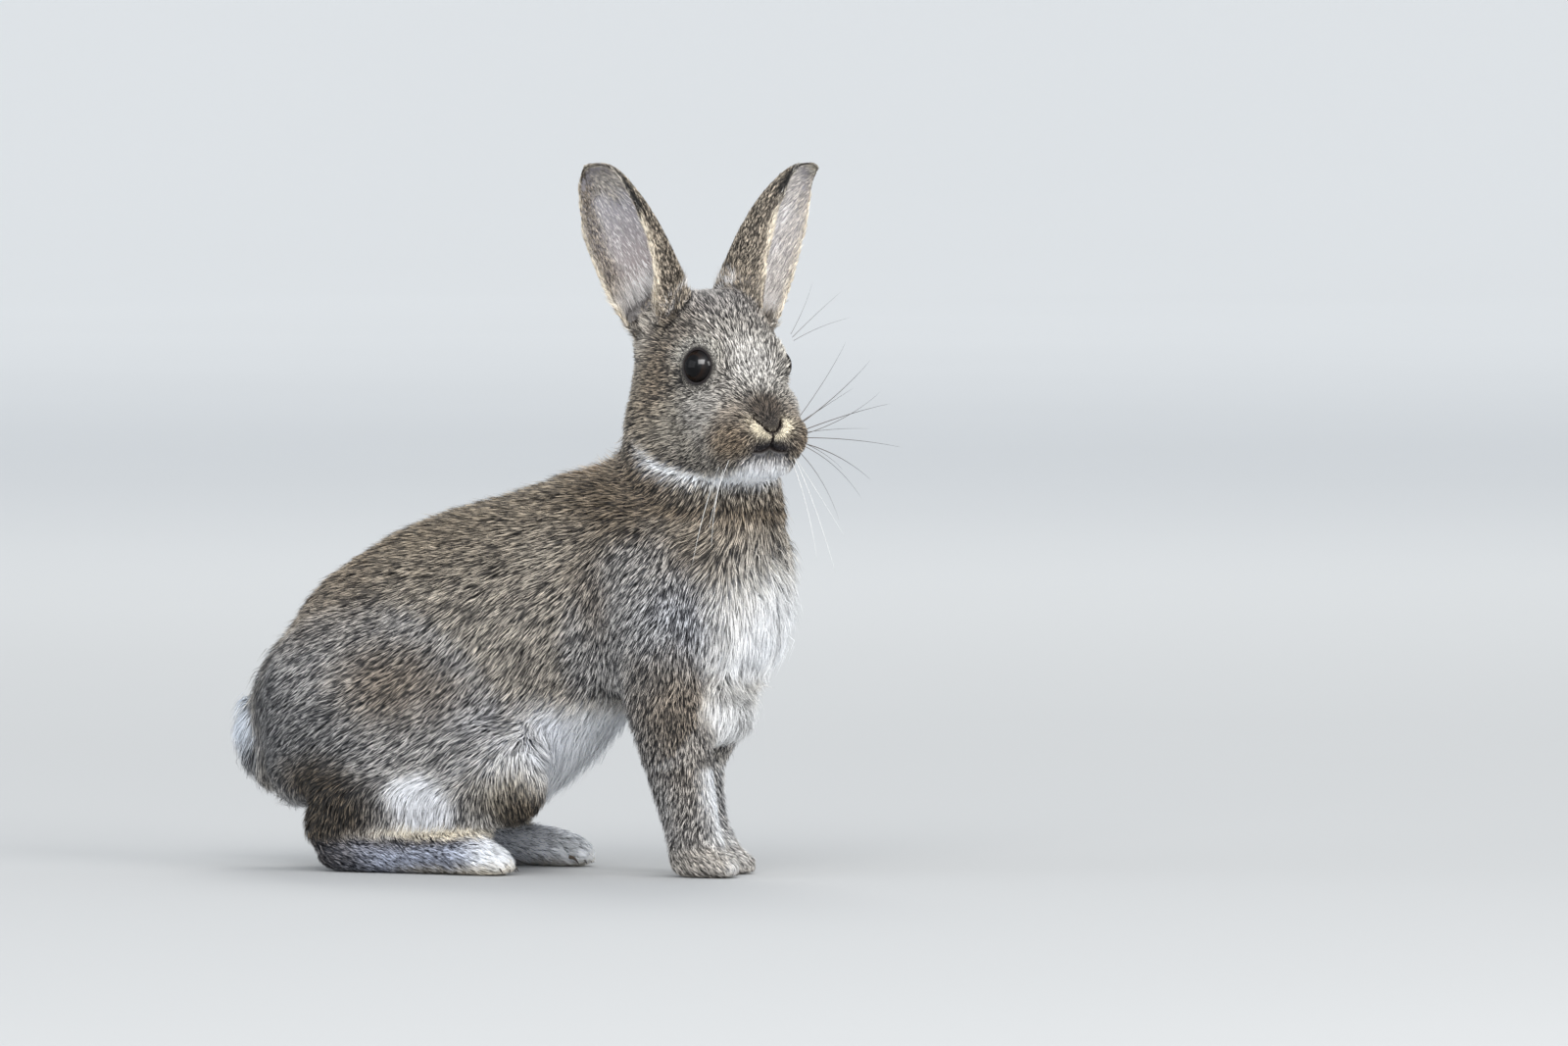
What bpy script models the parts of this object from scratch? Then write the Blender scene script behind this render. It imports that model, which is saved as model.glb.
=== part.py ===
"""A young European wild rabbit, still and life-size, sitting up on its hind feet with its head turned.

The animal faces +X with its left side towards +Y, stands on the floor at z = 0, and looks to its right.
Rounded forms for the muscles are blended into one body, which is then parted with thin cuts into the
pieces that a person would name. All sizes below are millimetres; the scene is in metres.
"""

import math

import bmesh
import bpy
import numpy as np
from mathutils import Matrix, Vector

MM = 0.001
SIDES = {"right": -1, "left": 1}

# Driving sizes, over the tips of the coat.
CUT_GAP = 0.3                # what parts one piece from the next
BODY_TRIANGLES = 2350        # of the whole blended body, before it is parted
FOOT_SPREAD = 29             # from the midline to the middle of a hind foot
PAW_SPREAD = 11              # from the midline to the middle of a forepaw
KNEE_FORWARD = {"right": 11, "left": -13}
PAW_FORWARD = {"right": 1, "left": -4}
EYE_RADIUS = 6.4
EAR_LENGTH = 60.5
EAR_LEAN = 31.5               # degrees outwards from upright
EAR_BACK = -3
EAR_OPENING = {"right": 66, "left": 40}     # degrees from straight ahead, outwards
EAR_WALL = 2.8
HEAD_TURN = 39               # degrees to the animal's right
NOSE_TIP = (112.8, -29, 139.5)

RING_POINTS = 28
CAP_RINGS = 4

COAT_COLOUR = (0.30, 0.26, 0.21, 1)
FOOT_COLOUR = (0.42, 0.36, 0.29, 1)
TAIL_COLOUR = (0.72, 0.70, 0.68, 1)
EAR_COLOUR = (0.46, 0.38, 0.34, 1)
EYE_COLOUR = (0.02, 0.015, 0.012, 1)


# ---------------------------------------------------------------------------------------------- shapes

def clear_scene():
    for obj in list(bpy.data.objects):
        bpy.data.objects.remove(obj)


def smooth_rows(rows, per_span):
    """Rows of numbers with per_span steps along a Catmull-Rom curve between each pair."""
    rows = np.array(rows, float)
    ends = np.vstack([2 * rows[0] - rows[1], rows, 2 * rows[-1] - rows[-2]])
    made = []
    for i in range(len(rows) - 1):
        a, b, c, d = ends[i:i + 4]
        for t in np.arange(per_span) / per_span:
            made.append(0.5 * (2 * b + (c - a) * t + (2 * a - 5 * b + 4 * c - d) * t ** 2
                               + (3 * b - a - 3 * c + d) * t ** 3))
    made.append(rows[-1])
    return np.array(made)


def mesh_object(name, points, faces):
    """An object from points in millimetres."""
    mesh = bpy.data.meshes.new(name)
    mesh.from_pydata([tuple(p) for p in np.array(points) * MM], [], faces)
    obj = bpy.data.objects.new(name, mesh)
    bpy.context.scene.collection.objects.link(obj)
    edit = bmesh.new()
    edit.from_mesh(mesh)
    bmesh.ops.recalc_face_normals(edit, faces=edit.faces)
    edit.to_mesh(mesh)
    edit.free()
    return obj


def skin_rings(name, rings):
    """A closed object from rings of equally many points, with a pole in the middle of each end."""
    count = len(rings[0])
    points = [p for ring in rings for p in ring]
    poles = [np.mean(rings[0], axis=0), np.mean(rings[-1], axis=0)]
    faces = []
    for r in range(len(rings) - 1):
        for k in range(count):
            a, b = r * count + k, r * count + (k + 1) % count
            faces.append((a, b, b + count, a + count))
    first, last = len(points), len(points) + 1
    tail = (len(rings) - 1) * count
    for k in range(count):
        faces.append((first, (k + 1) % count, k))
        faces.append((last, tail + k, tail + (k + 1) % count))
    return mesh_object(name, points + poles, faces)


def form(name, stations, across=(0, 1, 0), per_span=5):
    """A muscle as a tapering rod with rounded ends.

    Each station is (x, y, z, half width, half depth): the width lies along `across`, the depth is square to
    it and to the rod's own line.
    """
    rows = smooth_rows(stations, per_span)
    centres = rows[:, :3]
    radii = np.maximum(rows[:, 3:5], 0.5)
    tangents = np.gradient(centres, axis=0)
    tangents /= np.linalg.norm(tangents, axis=1)[:, None]
    frames = []
    for centre, tangent, (width, depth) in zip(centres, tangents, radii):
        side = np.array(across, float) - tangent * np.dot(across, tangent)
        side /= np.linalg.norm(side)
        frames.append((centre, side * width, np.cross(tangent, side) * depth, tangent * min(width, depth)))
    angles = np.arange(RING_POINTS) * 2 * math.pi / RING_POINTS
    bends = np.arange(1, CAP_RINGS) / CAP_RINGS * math.pi / 2

    def ring(frame, shrink, push):
        centre, side, up, along = frame
        return [centre + along * push + shrink * (side * math.cos(a) + up * math.sin(a)) for a in angles]

    rings = [ring(frames[0], math.cos(b), -math.sin(b)) for b in bends[::-1]]
    rings += [ring(frame, 1, 0) for frame in frames]
    rings += [ring(frames[-1], math.cos(b), math.sin(b)) for b in bends]
    return skin_rings(name, rings)


def ball(name, centre, radii, pitch=0, yaw=0, detail=4):
    """An ellipsoid. Pitch, in degrees, drops its front end and yaw turns it to the left."""
    mesh = bpy.data.meshes.new(name)
    edit = bmesh.new()
    bmesh.ops.create_icosphere(edit, subdivisions=detail, radius=1)
    place = (Matrix.Translation(Vector(centre) * MM) @ Matrix.Rotation(math.radians(yaw), 4, "Z")
             @ Matrix.Rotation(math.radians(pitch), 4, "Y") @ Matrix.Diagonal((*(Vector(radii) * MM), 1)))
    edit.transform(place)
    edit.to_mesh(mesh)
    edit.free()
    obj = bpy.data.objects.new(name, mesh)
    bpy.context.scene.collection.objects.link(obj)
    return obj


def settle(obj):
    """Replaces the object's mesh with the one that its modifiers make."""
    graph = bpy.context.evaluated_depsgraph_get()
    mesh = bpy.data.meshes.new_from_object(obj.evaluated_get(graph))
    obj.modifiers.clear()
    obj.data = mesh
    return obj


def blend(name, forms, voxel, rounds):
    """One body from overlapping forms, which are used up. Rounds is how far their creases are softened."""
    edit = bmesh.new()
    for obj in forms:
        edit.from_mesh(obj.data)
        bpy.data.objects.remove(obj)
    mesh = bpy.data.meshes.new(name)
    edit.to_mesh(mesh)
    edit.free()
    body = bpy.data.objects.new(name, mesh)
    bpy.context.scene.collection.objects.link(body)
    remesh = body.modifiers.new("one_skin", "REMESH")
    remesh.mode = "VOXEL"
    remesh.voxel_size = voxel * MM
    soften = body.modifiers.new("soften", "SMOOTH")
    soften.factor = 0.5
    soften.iterations = rounds
    return settle(body)


def boolean(obj, cutter, operation):
    """A new mesh for obj: what it shares with the cutter, or what is left without it."""
    cut = obj.modifiers.new(operation.lower(), "BOOLEAN")
    cut.operation = operation
    cut.object = cutter
    return settle(obj)


def grown(obj, name="grown"):
    """A copy of the object whose every face lies further out by the width of a cut."""
    edit = bmesh.new()
    edit.from_mesh(obj.data)
    edit.normal_update()
    moves = []
    for vertex in edit.verts:
        normals = np.array([face.normal for face in vertex.link_faces])
        moves.append(np.linalg.lstsq(normals, np.full(len(normals), CUT_GAP * MM), rcond=0.2)[0])
    for vertex, move in zip(edit.verts, moves):
        vertex.co += Vector(move)
    mesh = bpy.data.meshes.new(name)
    edit.to_mesh(mesh)
    edit.free()
    copy = bpy.data.objects.new(name, mesh)
    bpy.context.scene.collection.objects.link(copy)
    return copy


def copied(obj, name):
    copy = obj.copy()
    copy.data = obj.data.copy()
    copy.name = name
    bpy.context.scene.collection.objects.link(copy)
    return copy


def cut_away(obj, cutter):
    """Takes the cutter and a cut's width round it from the object."""
    larger = grown(cutter)
    boolean(obj, larger, "DIFFERENCE")
    bpy.data.objects.remove(larger)


def part_off(body, cutter, name):
    """Parts the piece of the body inside the cutter from the rest, and uses the cutter up."""
    piece = boolean(copied(body, name), cutter, "INTERSECT")
    cut_away(body, cutter)
    bpy.data.objects.remove(cutter)
    return piece


# ----------------------------------------------------------------------------------------------- torso

def trunk_form():
    """The barrel from rump to shoulders. Each row is x, underside, back and half width."""
    rows = [
        (-62, 24, 77, 20),
        (-50, 15, 92, 30),
        (-30, 12, 104, 36),
        (-8, 15, 114, 37),
        (10, 27, 121, 36),
        (28, 43, 126, 34),
        (44, 57, 130.5, 31),
        (60, 66, 131, 27),
        (74, 72, 125, 21),
    ]
    return form("trunk", [(x, 0, (low + high) / 2, wide, (high - low) / 2) for x, low, high, wide in rows])


def chest_form():
    """The breast and the neck, which rise from between the forelegs to the back of the head."""
    return form("chest", [
        (79.5, 0, 59, 20, 20),
        (80, 0, 80, 26, 25),
        (77.5, 0, 100, 27, 27),
        (73.5, 0, 120, 26, 27.5),
        (71.5, 1, 138, 24, 24.5),
        (71, 3, 154, 21.5, 21),
        (69, 5, 166, 19, 19),
    ])


def haunch_forms(side):
    """The thigh, whose front end drops to the knee, and the shank folded back under it to the hock."""
    y = SIDES[side]
    knee = KNEE_FORWARD[side]
    return [
        ball("haunch", (-25, y * 21, 50), (46, 20, 37), pitch=15),
        ball("buttock", (-56, y * 14, 36), (17, 13, 19)),
        ball("knee", (knee, y * 27, 33), (25, 13, 18), pitch=28),
        form("shank", [
            (knee + 6, y * 28, 25, 10, 11),
            (knee - 20, y * 28.5, 24, 11, 14),
            (-34, y * FOOT_SPREAD, 22, 11, 14),
            (-43, y * FOOT_SPREAD, 15, 9, 10),
        ]),
    ]


def shoulder_form(side):
    y = SIDES[side]
    return form("shoulder", [
        (50, y * 16, 108, 12, 14),
        (64, y * 18, 90, 14, 17),
        (68, y * 18, 70, 13, 15),
        (66, y * 17, 56, 11, 12),
    ])


def torso():
    forms = [trunk_form(), chest_form()]
    for side in SIDES:
        forms += haunch_forms(side)
        forms.append(shoulder_form(side))
    return blend("torso", forms, voxel=2.2, rounds=12)


# ------------------------------------------------------------------------------------- limbs and tail

def foreleg_form(side):
    y, ahead = SIDES[side], PAW_FORWARD[side]
    return form("foreleg", [
        (68.5, y * 16, 58, 11, 15.5),
        (70.5 + ahead, y * 14.5, 42, 10.5, 13.5),
        (73 + ahead, y * 13, 27, 9, 10.5),
        (76 + ahead, y * PAW_SPREAD, 12, 8.5, 9.2),
        (77 + ahead, y * PAW_SPREAD, 6, 8.2, 8.5),
    ])


def forepaw_form(side):
    y, ahead = SIDES[side] * PAW_SPREAD, PAW_FORWARD[side]
    return form("forepaw", [
        (74 + ahead, y, 6, 8, 7),
        (81 + ahead, y, 4.5, 8, 6.5),
        (87 + ahead, y, 3, 6.8, 4.6),
    ])


def hind_foot_form(side):
    y = SIDES[side] * FOOT_SPREAD
    return form("hind_foot", [
        (-39, y, 7, 8, 8),
        (-20, y, 6.5, 8, 7),
        (0, y, 6.5, 8.3, 7),
        (12, y, 5, 8.6, 7),
        (18, y, 3.6, 7, 5),
    ])


def tail_form():
    """The short tail, turned up against the rump."""
    return form("tail", [
        (-66, 0, 27, 10, 10),
        (-76, 0, 32, 9, 8),
        (-82, 0, 41, 8.5, 7),
        (-82.5, 0, 51, 6, 5),
    ])


# ------------------------------------------------------------------------------------------------ head

def head_place():
    """Takes the head's own axes, forward, left and up from the nose tip, to the body's."""
    return Matrix.Translation(Vector(NOSE_TIP) * MM) @ Matrix.Rotation(math.radians(-HEAD_TURN), 4, "Z")


def eye_centre(side):
    return Vector((-23.5, SIDES[side] * 13.2, 21))


def skull_form():
    """The head from nose to nape. Each row is forward, top, bottom, and half width at jaw and at brow."""
    rows = smooth_rows([
        (-1.5, 4, -7.5, 7.2, 4.5),
        (-4, 8, -12, 11.8, 7.5),
        (-8, 13, -15.2, 15.3, 11.5),
        (-13, 20, -16.2, 17.3, 15.5),
        (-20, 29.5, -16.4, 19.2, 18.8),
        (-28, 38, -16, 21, 20.6),
        (-38, 44.5, -15.5, 23, 21.5),
        (-48, 45.5, -14, 24.4, 21.8),
        (-58, 41, -11, 24, 20.5),
        (-67, 32, -5, 19, 16),
        (-73, 23, 3, 12, 10),
    ], 3)
    angles = np.arange(RING_POINTS) * 2 * math.pi / RING_POINTS
    rings = []
    for forward, top, bottom, jaw, brow in rows:
        rings.append([])
        for angle in angles:
            rise = math.sin(angle)
            share = min(max(0.5 + 0.75 * rise, 0), 1)
            half = jaw + (brow - jaw) * share * share * (3 - 2 * share)
            out = math.copysign(abs(math.cos(angle)) ** 0.85, math.cos(angle))
            rings[-1].append((forward, half * out, (top + bottom) / 2 + (top - bottom) / 2 * rise))
    return skin_rings("skull", rings)


def head_forms():
    forms = [skull_form(), ball("nose", (-3.5, 0, 1), (4, 6.5, 5.5))]
    for y in SIDES.values():
        forms += [
            ball("ear_root", (-51, y * 15.5, 27), (13, 7.5, 13)),
            ball("whisker_pad", (-8.5, y * 7.8, -0.5), (8.5, 8.3, 9)),
            ball("brow", (-24, y * 11, 22.5), (9.5, 7.2, 8.5)),
        ]
    return forms


def head():
    body = blend("head", head_forms(), voxel=1.0, rounds=24)
    body.data.transform(head_place())
    return body


def eye(side, radius=EYE_RADIUS):
    obj = ball("eye_" + side, eye_centre(side), (radius,) * 3, detail=3)
    obj.data.transform(head_place())
    return obj


# ------------------------------------------------------------------------------------------------ ears

def ear_place(side):
    """The ear's own axes: +Z from base to tip, +X to where its cup opens."""
    y = SIDES[side]
    base = Vector((-50, y * 12.5, 33)) * MM
    return (head_place() @ Matrix.Translation(base) @ Matrix.Rotation(math.radians(-y * EAR_LEAN), 4, "X")
            @ Matrix.Rotation(math.radians(EAR_BACK), 4, "Y")
            @ Matrix.Rotation(math.radians(y * EAR_OPENING[side]), 4, "Z"))


def ear(side):
    """The cupped blade of an ear. Each row is share of the length, half width and half angle of its curl."""
    rows = smooth_rows([
        (-0.08, 9.5, 156),
        (0.05, 11.6, 146),
        (0.18, 12.8, 130),
        (0.32, 13.6, 116),
        (0.50, 14.4, 102),
        (0.68, 13.6, 90),
        (0.84, 10.8, 76),
        (0.95, 6.2, 64),
        (1.00, 2.4, 60),
    ], 2)
    steps = np.linspace(-1, 1, 9)
    rings = []
    for share, half, curl in rows:
        curl = math.radians(curl)
        radius = half / (math.sin(curl) if curl < math.pi / 2 else 1)
        walls = [EAR_WALL * (1 - 0.45 * s * s) for s in steps]
        outer = [(radius, s * curl) for s in steps]
        inner = [(max(radius - wall, 0.4), s * curl) for s, wall in zip(steps, walls)][::-1]
        rings.append([(-r * math.cos(a), r * math.sin(a), share * EAR_LENGTH) for r, a in outer + inner])
    obj = skin_rings("ear_" + side, rings)
    obj.data.transform(ear_place(side))
    return obj


# --------------------------------------------------------------------------------------------- parting

def slab(outline, side, near=0.2, far=80):
    """A cutter: an outline of (x, z) points, run anticlockwise, that spans one side's y, or both for None."""
    y = SIDES.get(side, 1)
    low, high = sorted((y * (-far if side is None else near), y * far))
    count = len(outline)
    points = [(x, low, z) for x, z in outline] + [(x, high, z) for x, z in outline]
    faces = [tuple(range(count)), tuple(range(2 * count - 1, count - 1, -1))]
    faces += [(k, count + k, count + (k + 1) % count, (k + 1) % count) for k in range(count)]
    return mesh_object("cutter", points, faces)


def head_cutter():
    """Follows the jaw and rises behind the ears."""
    outline = [(30, -19), (30, 70), (-70, 70), (-70, 30), (-63, 6), (-48, -14), (-32, -19)]
    cutter = slab(outline, None)
    cutter.data.transform(head_place())
    return cutter


def limb_cutters(side):
    """The cutters for one side's legs, in the order in which they are parted off."""
    y = SIDES[side]
    return [
        ("forepaw_" + side, slab([(50, -20), (120, -20), (120, 11), (50, 11)], side)),
        ("forearm_" + side, slab([(50, 5), (120, 5), (120, 37), (50, 37)], side)),
        ("shoulder_" + side, ball("cutter", (65, y * 31, 73), (25, 23, 42), pitch=10, detail=3)),
        ("hind_foot_" + side, slab([(-90, -20), (45, -20), (45, 13.2), (-90, 13.2)], side)),
        ("shank_" + side, slab([(-90, 5), (45, 5), (45, 25), (-90, 31)], side, near=14)),
        ("thigh_" + side, ball("cutter", (-24, y * 36, 50), (50, 24, 40), pitch=15, detail=3)),
    ]


def body_parts(body):
    """Parts the blended body into its named pieces. What is left of it is the trunk."""
    parts = [part_off(body, head_cutter(), "head")]
    parts.append(part_off(body, slab([(30, 137), (115, 109), (130, 230), (30, 230)], None), "neck"))
    parts.append(part_off(body, ball("cutter", (-89, 0, 41), (10, 13, 23), detail=3), "tail"))
    for side in SIDES:
        parts += [part_off(body, cutter, name) for name, cutter in limb_cutters(side)]
    return parts + [body]


def thinned(obj, triangles):
    """Fewer triangles over the same shape."""
    count = sum(len(p.vertices) - 2 for p in obj.data.polygons)
    thin = obj.modifiers.new("thin", "DECIMATE")
    thin.ratio = triangles / count
    return settle(obj)


def coat(obj):
    """Gives a piece a material of its own."""
    kind = obj.name.split("_")[0]
    colours = {"eye": EYE_COLOUR, "ear": EAR_COLOUR, "tail": TAIL_COLOUR, "forepaw": FOOT_COLOUR,
               "hind": FOOT_COLOUR}
    material = bpy.data.materials.new(obj.name)
    material.use_nodes = True
    shader = material.node_tree.nodes["Principled BSDF"]
    shader.inputs["Base Color"].default_value = colours.get(kind, COAT_COLOUR)
    shader.inputs["Roughness"].default_value = 0.15 if kind == "eye" else 0.9
    obj.data.materials.clear()
    obj.data.materials.append(material)


def centre_on_origin(parts):
    """Moves the animal so that the middle of its outline on the floor is at the origin."""
    points = np.array([vertex.co for obj in parts for vertex in obj.data.vertices])
    middle = (points.min(axis=0) + points.max(axis=0)) / 2
    for obj in parts:
        obj.data.transform(Matrix.Translation((-middle[0], -middle[1], 0)))


def main():
    clear_scene()
    forms = [torso(), head(), tail_form()]
    for side in SIDES:
        forms += [foreleg_form(side), forepaw_form(side), hind_foot_form(side)]
    body = thinned(blend("trunk", forms, voxel=1.1, rounds=6), BODY_TRIANGLES)
    under_floor = slab([(-200, -50), (200, -50), (200, 0), (-200, 0)], None, far=200)
    boolean(body, under_floor, "DIFFERENCE")
    bpy.data.objects.remove(under_floor)
    parts = body_parts(body)
    skull = parts[0]
    for side in SIDES:
        for set_in in (ear(side), eye(side)):
            cut_away(skull, set_in)
            parts.append(set_in)
    for obj in parts:
        coat(obj)
    centre_on_origin(parts)


main()
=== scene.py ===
"""A still, life-size young wild rabbit: one skin, eyes, claws, whiskers and a coat of tufts.

Lengths inside the classes are in millimetres, and meshes are written in metres.
"""

import logging
import math
from dataclasses import dataclass, field, replace
from enum import Enum
from itertools import product
from typing import Iterable, Optional, Union

import bmesh
import bpy
import numpy as np
from bpy.types import Material, Mesh, NodeSocket, Object
from mathutils import Matrix, Vector
from mathutils.bvhtree import BVHTree
from mathutils.kdtree import KDTree
from numpy.random import Generator, default_rng

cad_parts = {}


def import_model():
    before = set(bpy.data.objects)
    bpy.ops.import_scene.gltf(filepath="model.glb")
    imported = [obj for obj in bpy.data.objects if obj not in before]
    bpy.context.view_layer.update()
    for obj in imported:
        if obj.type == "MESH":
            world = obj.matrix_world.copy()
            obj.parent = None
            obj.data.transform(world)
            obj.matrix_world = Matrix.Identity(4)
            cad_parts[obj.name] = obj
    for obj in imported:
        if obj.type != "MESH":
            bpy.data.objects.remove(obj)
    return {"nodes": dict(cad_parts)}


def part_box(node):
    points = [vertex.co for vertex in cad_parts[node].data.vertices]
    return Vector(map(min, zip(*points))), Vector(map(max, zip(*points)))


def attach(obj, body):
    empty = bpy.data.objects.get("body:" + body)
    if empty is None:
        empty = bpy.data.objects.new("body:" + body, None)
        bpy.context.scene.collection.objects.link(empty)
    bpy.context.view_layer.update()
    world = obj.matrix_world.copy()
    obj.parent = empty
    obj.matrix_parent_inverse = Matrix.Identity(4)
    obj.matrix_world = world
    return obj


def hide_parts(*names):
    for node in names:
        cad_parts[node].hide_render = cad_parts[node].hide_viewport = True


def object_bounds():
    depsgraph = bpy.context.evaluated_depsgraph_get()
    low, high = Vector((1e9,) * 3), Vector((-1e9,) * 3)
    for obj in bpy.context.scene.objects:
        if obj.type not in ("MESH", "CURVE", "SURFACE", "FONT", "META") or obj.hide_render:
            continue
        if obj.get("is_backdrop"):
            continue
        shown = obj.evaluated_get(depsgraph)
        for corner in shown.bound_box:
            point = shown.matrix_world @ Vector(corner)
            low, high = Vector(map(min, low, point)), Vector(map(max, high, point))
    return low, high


Array = np.ndarray
Amount = Union[float, Array]
Link = Union["Sock", float, tuple]

MM = 0.001
SCRAMBLE = (73856093, 19349663, 83492791)  # large numbers that turn a place and a seed into a random value
SEED_STEP = 40503
STIR = 1274126177
COLOURS = ("pale", "dark", "tone", "hide")  # what a mesh carries as a colour and not as a vector
log = logging.getLogger("rabbit")


# -------- numbers


def unit(vectors: Array) -> Array:
    """Returns each row scaled to a length of one."""
    return vectors / np.maximum(np.linalg.norm(vectors, axis=-1, keepdims=True), 1e-9)


def ease(values: Array, low: float, high: float) -> Array:
    """A smooth step.

    Args:
        values: The numbers to grade.
        low: Where the step starts, at 0.
        high: Where the step ends, at 1. It may be below low.

    Returns:
        Numbers from 0 to 1.
    """
    share = np.clip((values - low) / (high - low), 0, 1)
    return share * share * (3 - 2 * share)


def hill(distance: Array, reach: float) -> Array:
    """Returns a bell of height 1 that has faded out at about twice its reach."""
    return np.exp(-((distance / reach) ** 2))


def noise(points: Array, size: float, seed: int) -> Array:
    """Smooth random values in space.

    Args:
        points: Where to read them, in mm.
        size: The size of a patch, in mm.
        seed: Which pattern.

    Returns:
        A number from -1 to 1 for each point.
    """
    grid = points / size
    cell = np.floor(grid).astype(np.int64)
    part = grid - cell
    part = part * part * (3 - 2 * part)
    total = np.zeros(len(points))
    for corner in product((0, 1), repeat=3):
        mixed = np.bitwise_xor.reduce((cell + corner) * SCRAMBLE, axis=1) ^ (seed * SEED_STEP)
        mixed = ((mixed ^ (mixed >> 13)) * STIR) & 0xFFFFFFFF
        value = ((mixed ^ (mixed >> 15)) & 0xFFFF) / 32767.5 - 1
        total += value * np.prod(np.where(corner, part, 1 - part), axis=1)
    return total


def path_distance(points: Array, path: Iterable[tuple]) -> Array:
    """Measures to a bent line of straight runs.

    Args:
        points: The points, in any number of axes.
        path: The corners of a bent line.

    Returns:
        How far each point is from the line.
    """
    corners = np.array(list(path), float)
    nearest = np.full(len(points), 1e9)
    for start, end in zip(corners[:-1], corners[1:]):
        run = end - start
        share = np.clip((points - start) @ run / max(run @ run, 1e-9), 0, 1)
        nearest = np.minimum(nearest, np.linalg.norm(points - (start + share[:, None] * run), axis=1))
    return nearest


def within(points: Array, low: Iterable, high: Iterable) -> Array:
    """Returns which points are inside a box."""
    return np.all((points > low) & (points < high), axis=1)


def arc(start: Array, middle: Array, end: Array, share: Amount) -> Array:
    """Returns points on a curve that leaves its start towards the middle and comes from there to its end."""
    return start * (1 - share) ** 2 + middle * (2 * share * (1 - share)) + end * share * share


def smooth_rows(rows: Iterable[tuple], per_span: int) -> Array:
    """Fills in a table of sizes with a smooth curve through its rows.

    Args:
        rows: Rows of numbers.
        per_span: How many steps to make between two rows.

    Returns:
        The finer table.
    """
    table = np.array(list(rows), float)
    padded = np.vstack([2 * table[0] - table[1], table, 2 * table[-1] - table[-2]])
    out = []
    for i in range(1, len(padded) - 2):
        a, b, c, d = padded[i - 1:i + 3]
        for t in np.linspace(0, 1, per_span, endpoint=False):
            out.append(0.5 * (2 * b + (c - a) * t + (2 * a - 5 * b + 4 * c - d) * t * t
                              + (3 * b - a - 3 * c + d) * t ** 3))
    out.append(table[-1])
    return np.array(out)


# -------- shaders


class Sock:
    """A shader socket that Python expressions can use."""

    def __init__(self, graph: "Graph", socket: NodeSocket) -> None:
        """Keeps the graph and the socket."""
        self.graph = graph
        self.socket = socket

    def math(self, operation: str, *others: Link) -> "Sock":
        """Adds one Math node.

        Args:
            operation: The node's operation.
            *others: The second and third numbers or sockets.

        Returns:
            The node's result.
        """
        return self.graph.node("ShaderNodeMath", {"operation": operation}, dict(enumerate((self, *others))))

    def __add__(self, other: Link) -> "Sock":
        """Returns the sum."""
        return self.math("ADD", other)

    __radd__ = __add__

    def __mul__(self, other: Link) -> "Sock":
        """Returns the product."""
        return self.math("MULTIPLY", other)

    __rmul__ = __mul__

    def __sub__(self, other: Link) -> "Sock":
        """Returns the difference."""
        return self.math("SUBTRACT", other)

    def __rsub__(self, other: Link) -> "Sock":
        """Returns the other number less this one."""
        return self.graph.node("ShaderNodeMath", {"operation": "SUBTRACT"}, {0: other, 1: self})

    def step(self, low: Link, high: Link) -> "Sock":
        """Returns a smooth step from 0 at low to 1 at high."""
        return self.graph.node("ShaderNodeMapRange", {"interpolation_type": "SMOOTHSTEP"},
                               {0: self, 1: low, 2: high, 3: 0.0, 4: 1.0})


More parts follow.
